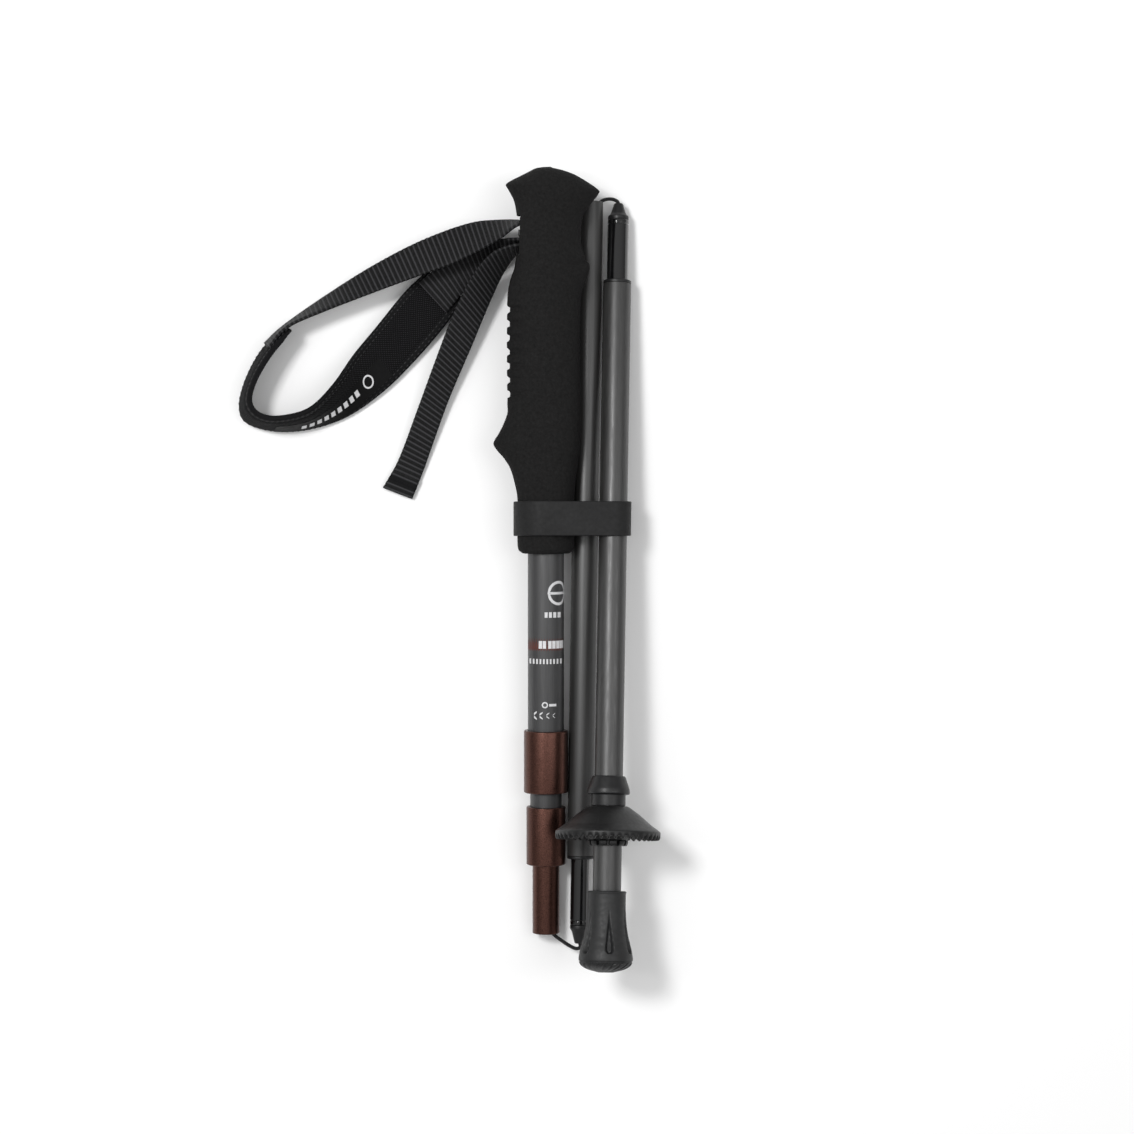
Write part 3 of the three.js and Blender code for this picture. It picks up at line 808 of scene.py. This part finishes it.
def make_basket():
    seat = [(7.5, -268.3, 0.2), (7.5, -263.5, 0.2), (9.25, -263.2, 0.25), (9.4, -262.5, 0.3),
            (9.2, -260.9, 0.4), (7.35, -255.7, 0.5), (7.0, -255.3, 0.2), (6.3, -255.3, 0.1),
            (6.3, -268.3, 0.1)]
    fit("basket_seat_ring", seat, LOWER, "lower", BLACK, "black_plastic", "basket_seat")

    def toothed(point):
        """Cuts the teeth into the rim's lower edge and raises the ribs under the dish."""
        radius = math.hypot(point.x, point.z)
        angle = math.atan2(point.z, point.x)
        under = point.y < -280.5
        outer = clamp((radius - 19.5) / 1.8)
        if under and outer > 0:
            tooth = max(0.0, math.cos(angle * TEETH))
            point = point + Vector((0, -1.5 * outer * tooth ** 0.5 + 0.5 * outer, 0))
        if under and 9.5 < radius < 19.6:
            rib = max(0.0, math.cos(angle * RIBS) - 0.9) * 10
            point = point + Vector((0, -1.1 * rib, 0))
        return point

    dish = [(8.2, -283.5, 0.3), (8.7, -282.8, 0.3), (9.2, -279.2, 0.4), (13, -279.6, 0.5), (17, -280.9, 0.5),
            (19.4, -281.8, 0.3), (20.3, -282.1, 0.1), (21.4, -282.2, 0.1), (22.3, -282.1, 0.3),
            (22.9, -281.3, 0.4), (BASKET_RIM, -279.6, 0.6), (21.6, -278.4, 0.8), (19, -276.6, 0.5),
            (13.5, -271.9, 0.8), (9.6, -269.1, 0.6), (8.7, -268.5, 0.4), (6.45, -268.5, 0.1),
            (6.45, -283.5, 0.2)]
    fit("basket_dish", dish, LOWER, "basket", BASKET, "basket_plastic", "basket", steps=360, shape=toothed)

    def notched(point):
        """Cuts the notches between the hub's lugs."""
        radius = math.hypot(point.x, point.z)
        notch = max(0.0, math.cos(math.atan2(point.z, point.x) * RIBS)) ** 0.5
        if radius < 7.3 or notch < 0.75:
            return point
        return Vector((point.x * 7.2 / radius, point.y, point.z * 7.2 / radius))

    lugs = [(8.3, -285.7, 0.3), (8.8, -285, 0.3), (9, -283.6, 0.2), (6.5, -283.6, 0.1), (6.5, -285.7, 0.1)]
    fit("basket_hub_lugs", lugs, LOWER, "basket", BASKET, "basket_plastic", steps=288, shape=notched)


FLUTES = 6
FLUTE_TOP, FLUTE_LENGTH = -313.5, 19


def make_tip():
    def fluted(point):
        """Sinks the teardrop flutes into the rubber, and cuts the tread's slanting grooves."""
        radius = math.hypot(point.x, point.z)
        if radius < 1e-3:
            return point
        angle = math.atan2(point.z, point.x)
        inset = 0.0
        share = (FLUTE_TOP - point.y) / FLUTE_LENGTH
        if radius > 7 and 0 < share < 1:
            half_width = 0.5 + 2.0 * share ** 1.3
            if share > 0.86:
                half_width *= math.sqrt(max(0.0, 1 - ((share - 0.86) / 0.14) ** 2))
            spread = abs((angle * FLUTES / TAU + 0.13) % 1.0 - 0.5) * TAU / FLUTES * radius
            if half_width > 0.05:
                inset = (0.4 + 1.8 * share) * eased(clamp((half_width - spread) / 1.2))
        if point.y < -336.3 and radius > 3.5:
            slant = math.cos(angle * 20 + radius * 0.5 + point.y * 1.1)
            inset += 0.6 * clamp(slant * 2.5 - 0.6)
        shrink = (radius - inset) / radius
        return Vector((point.x * shrink, point.y, point.z * shrink))

    heights = [TIP_TOP - 0.4 * i for i in range(4, 75)]
    bands = [(TIP_TOP, 8.3), (-312, 8.35), (-317, 8.6), (-321, 9.0), (-324.5, 9.6), (-328, 10.5),
             (-331.5, 11.4), (-334, 11.8), (-335.6, 11.85)]

    def side_radius(y):
        for (high, first), (low, second) in zip(bands, bands[1:]):
            if high >= y >= low:
                t = (high - y) / (high - low)
                return first + (second - first) * (eased(t) + t) * 0.5
        return bands[-1][1]

    side = [(side_radius(y), y, 0) for y in heights if y > -335.4]
    foot = [(11.8, -335.5, 0.1), (11.45, -335.7, 0.1), (11.45, -336, 0.1), (11.7, -336.2, 0.1)]
    turns = [0.12 + i * 0.125 for i in range(9)]
    foot += [(11.6 * math.cos(turn), -336 - 4.55 * math.sin(turn), 0) for turn in turns]
    foot += [(3.2, TIP_BOTTOM, 0.1), (3.1, -339.6, 0.2), (0, -339.6)]
    inside = [(0, -332), (3, -332, 0.2), (4.1, -325.6, 0.1), (6.5, -312, 0.1), (6.25, TIP_TOP, 0.2)]
    lip = [(8.2, TIP_TOP, 0.35), (8.6, TIP_TOP - 0.5, 0.3), (8.35, TIP_TOP - 1.2, 0.2)]
    tip = turned("rubber_tip_foot", inside + lip + side + foot, LOWER, steps=224, shape=fluted)
    place(tip, "tip", RUBBER, "tip_rubber", "rubber_tip")
    ferrule = [(6.1, -306.7, 0.1), (6.1, -311.5, 0.3), (3.6, -325, 0.3), (2.6, -325.2, 0.1),
               (2.6, -306.7, 0.1)]
    fit("tip_ferrule_body", ferrule, LOWER, "lower", BLACK, "black_plastic", "tip_ferrule")


def make_hidden():
    """Pieces that show only when the pole is open, or at its open ends, take finer materials."""
    nodes_by_look = (
        (NYLON, "upper_collet", "lower_collet", "inner_guide_bush", "tension_guide_bush"),
        (BLACK, "tension_mouth_bush", "strap_wedge"),
        (CARBIDE, "carbide_tip"),
        (STEEL, "strap_pin", "tension_spring", "cord_stop"),
        (CORD, "cord_knot", "cord_upper_run", "cord_lower_run"))
    for look, *nodes in nodes_by_look:
        for node in nodes:
            mesh = frame["nodes"][node].data
            mesh.materials.clear()
            mesh.materials.append(look)


# ---- Cord loops and storage strap ------------------------------------------------------------------
LOWER_LOOP = [
    (0.6, -331, 7), (1.4, -335, 7), (3.2, -339.4, 6.9), (7.4, -342.8, 6.8), (11.2, -345.2, 6.9),
    (13.3, -346, 7.1), (15, -345.7, 7.4), (15.3, -344.6, 7.6), (14.8, -343, 7.6)
]
UPPER_LOOP = [
    (19.45, -23.5, 7.6), (19.7, -21.5, 7.6), (20.6, -18.5, 7.7), (22.9, -14.7, 7.9), (25.2, -12.7, 7.8),
    (27.9, -11.9, 7), (30.4, -12.1, 6), (32, -13, 5.2), (32.4, -14.3, 4.9)
]
BAND_FROM, BAND_TO, BAND_THICK, BAND_GAP = -162.2, -147.0, 1.5, 0.25


def make_loops():
    lower = cord_piece("cord_loop_at_ferrule", LOWER_LOOP, CORD_RADIUS)
    place(lower, "tension", CORD, "cord", "cord_loop_lower")
    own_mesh(lower)
    upper = cord_piece("cord_loop_at_mouth", UPPER_LOOP, CORD_RADIUS)
    place(upper, "upper_loop", CORD, "cord", "cord_loop_upper")
    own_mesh(upper)


def axis_point(section_frame, y):
    """Where a section's axis passes a height of the bundle's frame, as (x, z) in millimetres."""
    up = section_frame.col[1].to_3d()
    origin = section_frame.translation / MM - Vector((CAD_SHIFT.x, CAD_SHIFT.y, BUNDLE_RISE))
    point = origin + up * ((y - origin.y) / up.y)
    return point.x, point.z


def make_storage_strap():
    around = 240
    corners = [(0, BAND_FROM), (BAND_THICK, BAND_FROM), (BAND_THICK, BAND_TO), (0, BAND_TO)]
    profile = softened(corners, 0.45, closed=True)
    rows = []
    for offset, y in profile:
        rounds = [(*axis_point(UPPER, y), GRIP_SLEEVE), (*axis_point(MIDDLE, y), MIDDLE_TUBE[0]),
                  (*axis_point(LOWER, y), LOWER_TUBE[0])]
        row = []
        for j in range(around):
            angle = TAU * j / around
            n = Vector((math.cos(angle), math.sin(angle)))
            best = max(rounds, key=lambda c: c[0] * n.x + c[1] * n.y + c[2])
            reach = best[2] + BAND_GAP + offset
            row.append(bundle_point((best[0] + reach * n.x, y, best[1] + reach * n.y)))
        rows.append(row)
    vertices = [v for row in rows for v in row]
    faces = grid_faces(len(rows), around, closed=True)
    band = finish_mesh("storage_band", vertices, faces, None, 40)
    place(band, "handle", BAND, "strap_rubber", "storage_strap")
    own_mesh(band)


# ---- Wrist strap -----------------------------------------------------------------------------------
# Edges of each length of strap, as points in the bundle's frame.
STRAND_LOW_EDGE = [
    (-8.5, -23.4, 16), (-13, -22.6, 16), (-22, -22.5, 15.8), (-32.5, -23.5, 15.6), (-54.5, -31, 14.5),
    (-77.5, -42.5, 11), (-100.5, -56.5, 4.6), (-114.5, -66, 1.6), (-120.2, -70.4, 1.2), (-126, -76, 1.2)
]
STRAND_HIGH_EDGE = [
    (-8.5, -25, 30), (-13, -26.4, 29.5), (-20, -31.5, 27.5), (-40, -41.5, 22.5), (-55.5, -47, 19.5),
    (-81, -56, 16.5), (-101, -63.5, 16), (-112.3, -68.4, 16.4), (-117.4, -72.3, 17.4), (-122.6, -79.5, 19)
]
PAD_OUTER_EDGE = [
    (-115.8, -69.2, 1), (-118.5, -71.7, 0.8), (-126.5, -79, 0.6), (-134, -93, 0.6), (-136.5, -104, 0.6),
    (-135, -109.5, 0.6), (-128, -113, 0.6), (-116, -114.5, 0.6), (-103, -113, 0.6), (-89.5, -108.5, 1),
    (-73, -97.5, 1.9), (-59, -84, 2.2), (-45.5, -68.5, 3), (-36.5, -56.5, 4.5)
]
PAD_INNER_EDGE = [
    (-112.6, -71, 17.2), (-115.5, -74, 18), (-122.5, -83, 20), (-129, -95, 21.5), (-130.5, -103, 22),
    (-128, -107.5, 22), (-122.5, -110, 22), (-113.5, -109.5, 21.5), (-104, -106, 19.5), (-94, -95, 15),
    (-85.5, -81.5, 9.5), (-75, -68, 6), (-63, -53, 5), (-53, -43.5, 5.5)
]
LOWER_STRAND_OUTER_EDGE = [
    (-44.5, -62.5, 6.2), (-38.5, -55.3, 7.2), (-31, -48.2, 8.6), (-23, -41.5, 10.5), (-15, -35.4, 13.8),
    (-9, -33, 15.4)
]
LOWER_STRAND_INNER_EDGE = [
    (-56.5, -49.5, 8.2), (-48.5, -42.7, 9), (-38.5, -36.4, 11), (-28, -32, 15.5), (-17, -31.5, 24),
    (-9, -31.8, 29.6)
]
TAIL_RIGHT_EDGE = [
    (-9, -35.9, 15.6), (-13.2, -37.6, 15), (-18.5, -44.5, 12.6), (-24.5, -57, 9.8), (-32.5, -76, 7.4),
    (-43.5, -101.5, 4.4), (-55.5, -134.5, 1.6), (-60, -145.5, 1)
]
TAIL_LEFT_EDGE = [
    (-9, -34.6, 29.4), (-14, -34.6, 28.5), (-22.5, -37.5, 26), (-31, -45.5, 19), (-40.5, -62, 12),
    (-48.5, -82, 8.6), (-57, -104.5, 5), (-66.5, -129, 2), (-73, -140.5, 1)
]
STRAND = Strip(STRAND_LOW_EDGE, STRAND_HIGH_EDGE)
PAD_STRIP = Strip(PAD_OUTER_EDGE, PAD_INNER_EDGE)
LOWER_STRAND = Strip(LOWER_STRAND_OUTER_EDGE, LOWER_STRAND_INNER_EDGE)
TAIL = Strip(TAIL_RIGHT_EDGE, TAIL_LEFT_EDGE)
RIB_HEIGHT = 0.34


def webbing_outline(thickness, cells=10):
    """A flat strap's cross-section, as (share across, lift), with thin rounded edges."""
    half = thickness / 2
    outline = [(0.0, -half * 0.4), (0.008, -half * 0.8), (0.025, -half)]
    outline += [(0.025 + 0.95 * i / cells, -half) for i in range(1, cells + 1)]
    outline += [(0.992, -half * 0.8), (1.0, -half * 0.4), (1.0, half * 0.4), (0.992, half * 0.8)]
    outline += [(0.975 - 0.95 * i / cells, half) for i in range(cells + 1)]
    return outline + [(0.008, half * 0.8), (0.0, half * 0.4)]


def ribbed(pitch, selvedge=0.075):
    """Cross ribs on both faces, with plain edges."""

    def shape(along, across, lift):
        inside = clamp((min(across, 1 - across) - selvedge) / 0.04)
        wave = 0.5 + 0.5 * math.cos(TAU * along / pitch)
        rib = RIB_HEIGHT * (wave ** 1.3 * inside + 0.45 * (1 - inside) - 0.5)
        wide = across + 0.016 * wave * (across - 0.5)
        return wide, lift + (math.copysign(rib, lift) if abs(lift) > 0.4 else 0)
    return shape


def webbing(name, strip, node):
    piece = strip_piece(name, strip, webbing_outline(WEBBING), 0, 1, 0.2, ribbed(RIB_PITCH))
    piece.data.materials.append(RIBBED)
    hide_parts(node)
    return piece


def strap_bend(piece):
    """Bakes the piece's placement into its mesh."""
    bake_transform(piece)


def pad_outline(thickness, cells=26):
    """The pad's cross-section: a padded middle between two stitched bindings."""
    half = thickness / 2
    outline = []
    for side in (-1, 1):
        for i in range(cells + 1):
            across = i / cells if side < 0 else 1 - i / cells
            edge = min(across, 1 - across)
            if edge < 0.02:
                lift = half * 0.42 + edge * 12
            elif edge < 0.135:
                lift = half * 0.66 + 0.22 * math.sin(math.pi * (edge - 0.02) / 0.115)
            else:
                rise = min(1.0, (edge - 0.135) / 0.1)
                lift = half * (0.62 + 0.38 * math.sin(rise * math.pi / 2))
            outline.append((across, side * lift))
    return outline


BINDING_SHARE = 0.14
# The pad's outward face is on the far side of its strip's normal.
PAD_UP = -1


def make_pad():
    def shape(along, across, lift):
        edge = min(across, 1 - across)
        lift *= 0.4 + 0.6 * min(1.0, along / 7, (PAD_STRIP.length - along) / 7)
        if edge > 0.16:
            swell = 0.10 * math.sin(along * 0.55 + across * 9) + 0.07 * math.sin(along * 1.7 - across * 5)
            return across, lift + math.copysign(swell * min(1.0, (edge - 0.16) * 8), lift)
        pucker = 0.05 * math.sin(TAU * along / 3.1)
        return across, lift + math.copysign(pucker, lift)

    outline = pad_outline(PAD)
    pad = strip_piece("pad_body", PAD_STRIP, outline, 0.0, 1.0, 0.5, shape)
    pad.data.materials.append(MESH)
    pad.data.materials.append(BINDING)
    for index, face in enumerate(pad.data.polygons):
        across = outline[index % len(outline)][0]
        if min(across, 1 - across) < BINDING_SHARE:
            face.material_index = 1
    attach(pad, "wrist_strap")
    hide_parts("strap_pad")


def stitch_row(name, strip, across, lift, start, end, pitch=2.3, stitch=1.5, radius=0.2):
    """A row of thread stitches along a strip, each one a small flattened bead."""
    vertices, faces = [], []
    rings, sides = 7, 8
    total = strip.length * (end - start)
    for n in range(int(total / pitch)):
        middle = start + (n + 0.5) * pitch / strip.length
        reach = stitch / 2 / strip.length
        base = len(vertices)
        for i in range(rings):
            t = -1 + 2 * i / (rings - 1)
            width = radius * math.sqrt(max(0.0, 1 - (abs(t) ** 3) * 0.97))
            share = middle + reach * t
            a, span, normal = strip.frame(share)
            sideways = span.normalized()
            centre = a + span * across + normal * (lift - 0.16 * t * t * math.copysign(1, lift))
            for j in range(sides):
                angle = TAU * j / sides
                out = sideways * width * math.cos(angle) + normal * width * 0.8 * math.sin(angle)
                vertices.append(bundle_point(centre + out))
        faces += rod_faces(rings, sides, base)
    return finish_mesh(name, vertices, faces)


def make_stitches():
    for index, across in enumerate((0.045, 0.118, 0.882, 0.955)):
        thread = stitch_row(f"pad_stitches_{index}", PAD_STRIP, across, PAD * 0.38 * PAD_UP, 0.004, 0.996)
        place(thread, "wrist_strap", THREAD, "webbing")


def panel(name, along, across, lift, thickness, look, slot, step=0.5):
    """A thin strip laid on the pad between two lengths and two shares of its width."""
    start, end = (value / PAD_STRIP.length for value in along)
    low, high = across
    rows = 9
    outline = [(low + (high - low) * i / rows, lift) for i in range(rows + 1)]
    outline += [(high - (high - low) * i / rows, lift + thickness * PAD_UP) for i in range(rows + 1)]
    piece = strip_piece(name, PAD_STRIP, outline, start, end, step)
    return place(piece, "wrist_strap", look, slot)


FOLD_LENGTH, FOLD_THICKNESS, FOLD_LIFT = 9.5, 1.2, 1.28
# How far from the tail's end its seam starts and stops.
FOLD_SEAM = (3.6, 6.9)


def make_tail_fold():
    """The end of the tail, turned back on itself and stitched down."""
    start = 1 - FOLD_LENGTH / TAIL.length
    outline = [(across, lift + FOLD_LIFT) for across, lift in webbing_outline(FOLD_THICKNESS)]
    ribs = ribbed(RIB_PITCH)

    def shape(along, across, lift):
        left = TAIL.length - along
        across, lift = ribs(along, across, lift - FOLD_LIFT)
        seam = 0.22 * math.exp(-((left - 6.2) / 0.7) ** 2) + 0.22 * math.exp(-((left - 4.2) / 0.7) ** 2)
        drop = 0.9 * max(0.0, 1 - left / 1.0) ** 2
        return across, lift + FOLD_LIFT - (seam if lift > 0 else 0) - drop

    fold = strip_piece("strap_tail_fold", TAIL, outline, start, 0.9995, 0.2, shape)
    steps = (len(fold.data.polygons) - 2) / len(outline)
    for index, face in enumerate(fold.data.polygons):
        left = FOLD_LENGTH * (1 - index // len(outline) / steps)
        face.material_index = int(FOLD_SEAM[0] < left < FOLD_SEAM[1])
    place(fold, "wrist_strap", (RIBBED, BINDING), "webbing")


EMBLEM_ALONG, EMBLEM_ACROSS = 0.655, 0.4


def make_label():
    """A plain dark patch sewn along the pad's outer half, with a ring and a row of plain bars."""
    length = PAD_STRIP.length
    base = PAD_UP * (PAD / 2 - 0.1)
    panel("pad_patch", (0.36 * length, 0.72 * length), (0.13, 0.58), base, 0.32, PATCH, "pad_fabric")
    face = PAD_UP * (PAD / 2 + 0.18)
    for i in range(9):
        along = (0.43 + i * 0.0215) * length
        low = 0.25 + 0.008 * i
        span, width = (along, along + 2.1), (low, low + 0.15)
        panel(f"pad_bar_{i}", span, width, face, 0.12, WHITE_PRINT, "pad_fabric", 0.4)
    vertices, faces = [], []
    count = 32
    for i in range(count):
        angle = TAU * i / count
        for reach in (2.1, 2.8):
            for lift in (0.0, 0.12):
                share = EMBLEM_ALONG + reach * math.cos(angle) / length
                across = EMBLEM_ACROSS + reach * math.sin(angle) / 20
                vertices.append(bundle_point(PAD_STRIP.point(share, across, face + PAD_UP * lift)))
    for i in range(count):
        a, b = i * 4, (i + 1) % count * 4
        faces += [[a + 1, a + 3, b + 3, b + 1], [a, b, b + 2, a + 2], [a, a + 1, b + 1, b],
                  [a + 2, b + 2, b + 3, a + 3]]
    place(finish_mesh("pad_ring", vertices, faces, None, 30), "wrist_strap", WHITE_PRINT, "pad_fabric")


def make_strap():
    strap_bend(webbing("strap_strand", STRAND, "strap_upper_webbing"))
    strap_bend(webbing("strap_lower_strand", LOWER_STRAND, "strap_lower_webbing"))
    strap_bend(webbing("strap_tail_end", TAIL, "strap_tail"))
    make_tail_fold()
    make_pad()
    make_stitches()
    make_label()


# ---- Print on the upper tube -----------------------------------------------------------------------
PRINT_RADIUS, PRINT_DEPTH = 8.0, 0.04


def arc_of(x):
    """Arc length round the tube, from its top line, of a point seen at x from above."""
    return PRINT_RADIUS * math.asin(max(-1.0, min(1.0, x / PRINT_RADIUS)))


def printed(name, cells, look, depth=PRINT_DEPTH):
    """Marks on the tube's upper side. A cell is arc, low y, high y at one side and the same at the other."""
    vertices, faces = [], []
    columns = 8
    for first, second in cells:
        base = len(vertices)
        for i in range(columns + 1):
            t = i / columns
            arc, low, high = (a + (b - a) * t for a, b in zip(first, second))
            angle = arc / PRINT_RADIUS
            for radius in (PRINT_RADIUS - depth, PRINT_RADIUS + depth):
                for y in (low, high):
                    point = Vector((radius * math.sin(angle), y, radius * math.cos(angle)))
                    vertices.append(UPPER @ (point * MM))
        for i in range(columns):
            a, b = base + i * 4, base + i * 4 + 4
            faces += [[a + 2, a + 3, b + 3, b + 2], [a, b, b + 1, a + 1], [a, a + 2, b + 2, b],
                      [a + 1, b + 1, b + 3, a + 3]]
        a, b = base, base + columns * 4
        faces += [[a, a + 1, a + 3, a + 2], [b, b + 2, b + 3, b + 1]]
    return place(finish_mesh(name, vertices, faces, None, 30), "handle", look, "carbon")


def bar(x0, x1, low, high):
    return ((arc_of(x0), low, high), (arc_of(x1), low, high))


def ring_cells(x, y, outer, inner, count=24):
    cells = []
    for i in range(count):
        ends = [-outer + 2 * outer * (i + k) / count for k in (0, 1)]
        outers = [math.sqrt(max(0.0, outer ** 2 - a ** 2)) for a in ends]
        inners = [math.sqrt(max(0.0, inner ** 2 - a ** 2)) for a in ends]
        for way in (1, -1):
            sides = []
            for a, far, near in zip(ends, outers, inners):
                low, high = sorted((y + way * near, y + way * far))
                sides.append((arc_of(x) + a, low, high))
            cells.append(tuple(sides))
    return cells


def make_prints():
    emblem = ring_cells(5.6, -187.4, 5.4, 4.2) + [bar(1.9, 7.9, -188, -186.9)]
    emblem += [bar(-0.5 + i * 1.9, 0.8 + i * 1.9, -198.2, -195.8) for i in range(4)]
    printed("tube_emblem", emblem, WHITE_PRINT)
    hatch = []
    for i in range(18):
        start = -11.8 + i * 1.2
        hatch.append(((start, -213.2, -211.8), (start + 1.0, -212.1, -209.3)))
        hatch.append(((start + 1.0, -212.1, -209.3), (start + 1.7, -209.4, -207.1)))
    printed("tube_hatched_band", hatch, RUST_PRINT, 0.02)
    blocks = [bar(x, x + 1.45, -211.9, -208.5) for x in (-3.1, -1.35, 1.1, 2.85, 4.6, 6.2)]
    printed("tube_blocks", blocks, WHITE_PRINT)
    marks = [bar(-7.2 + i * 1.5, -6.5 + i * 1.5, -218.7, -216.5) for i in range(10)]
    marks += ring_cells(-0.4, -236.9, 1.4, 0.8, 16) + [bar(1.5, 4.6, -237.5, -236.4)]
    for i, x in enumerate((-5.2, -2.7, 0.3, 3.1)):
        half, stroke = 1.25 - 0.12 * i, 1.15 - 0.25 * i
        for way in (1, -1):
            tip = sorted((-241.6, -241.6 + way * stroke))
            far = sorted((-241.6 + way * half, -241.6 + way * (half + stroke * 0.6)))
            marks.append(((arc_of(x), *tip), (arc_of(x) + half * 1.2, *far)))
    printed("tube_lock_marks", marks, WHITE_PRINT)


# ---- Build everything ------------------------------------------------------------------------------
make_grip()
make_upper_tubes()
make_collars()
make_middle()
make_middle_cord()
make_lower()
make_basket()
make_tip()
make_hidden()
make_loops()
make_storage_strap()
make_strap()
make_prints()

# ---- Floor, lights and camera ----------------------------------------------------------------------
VIEW_X, VIEW_Y = 0.0533, 0.0004
CAMERA_HEIGHT, LENS = 1.4, 99.15

bpy.ops.mesh.primitive_plane_add(size=8, location=(0, 0, -0.0002))
floor = bpy.context.object
floor.name = "floor"
floor_look = Look("floor_look", (0.9, 0.9, 0.9), 0.9, specular=0.1)
floor.data.materials.append(floor_look.material)


def soft_light(name, position, size, energy):
    data = bpy.data.lights.new(name, "AREA")
    data.shape = "RECTANGLE"
    data.size, data.size_y = size
    data.energy = energy
    light = bpy.data.objects.new(name, data)
    light.location = position
    aim = Vector((VIEW_X, VIEW_Y, 0)) - Vector(position)
    light.rotation_euler = aim.to_track_quat("-Z", "Y").to_euler()
    bpy.context.scene.collection.objects.link(light)


soft_light("key", (VIEW_X - 0.56, VIEW_Y + 0.39, 1.43), (0.3, 0.3), 13.5)
soft_light("right", (VIEW_X + 0.86, VIEW_Y + 0.1, 1.4), (0.45, 1.2), 5.5)
soft_light("left", (VIEW_X - 0.6, VIEW_Y + 0.05, 1.43), (0.14, 1.6), 3.5)

# The room is brighter overhead than round the horizon.
world = bpy.data.worlds.new("white_room")
world.use_nodes = True
tree = world.node_tree
background = tree.nodes["Background"]
background.inputs["Color"].default_value = (1, 1, 1, 1)
where = tree.nodes.new("ShaderNodeTexCoord")
parts = tree.nodes.new("ShaderNodeSeparateXYZ")
height = tree.nodes.new("ShaderNodeMapRange")
height.inputs["From Min"].default_value = 0.0
height.inputs["From Max"].default_value = 0.9
height.inputs["To Min"].default_value = 0.2
height.inputs["To Max"].default_value = 0.58
tree.links.new(where.outputs["Generated"], parts.inputs[0])
tree.links.new(parts.outputs[2], height.inputs["Value"])
tree.links.new(height.outputs["Result"], background.inputs["Strength"])
bpy.context.scene.world = world
bpy.context.scene.view_settings.view_transform = "Standard"

camera_data = bpy.data.cameras.new("camera")
camera_data.lens = LENS
camera_data.sensor_width = 36
camera = bpy.data.objects.new("camera", camera_data)
camera.location = (VIEW_X, VIEW_Y, CAMERA_HEIGHT)
bpy.context.scene.collection.objects.link(camera)
bpy.context.scene.camera = camera
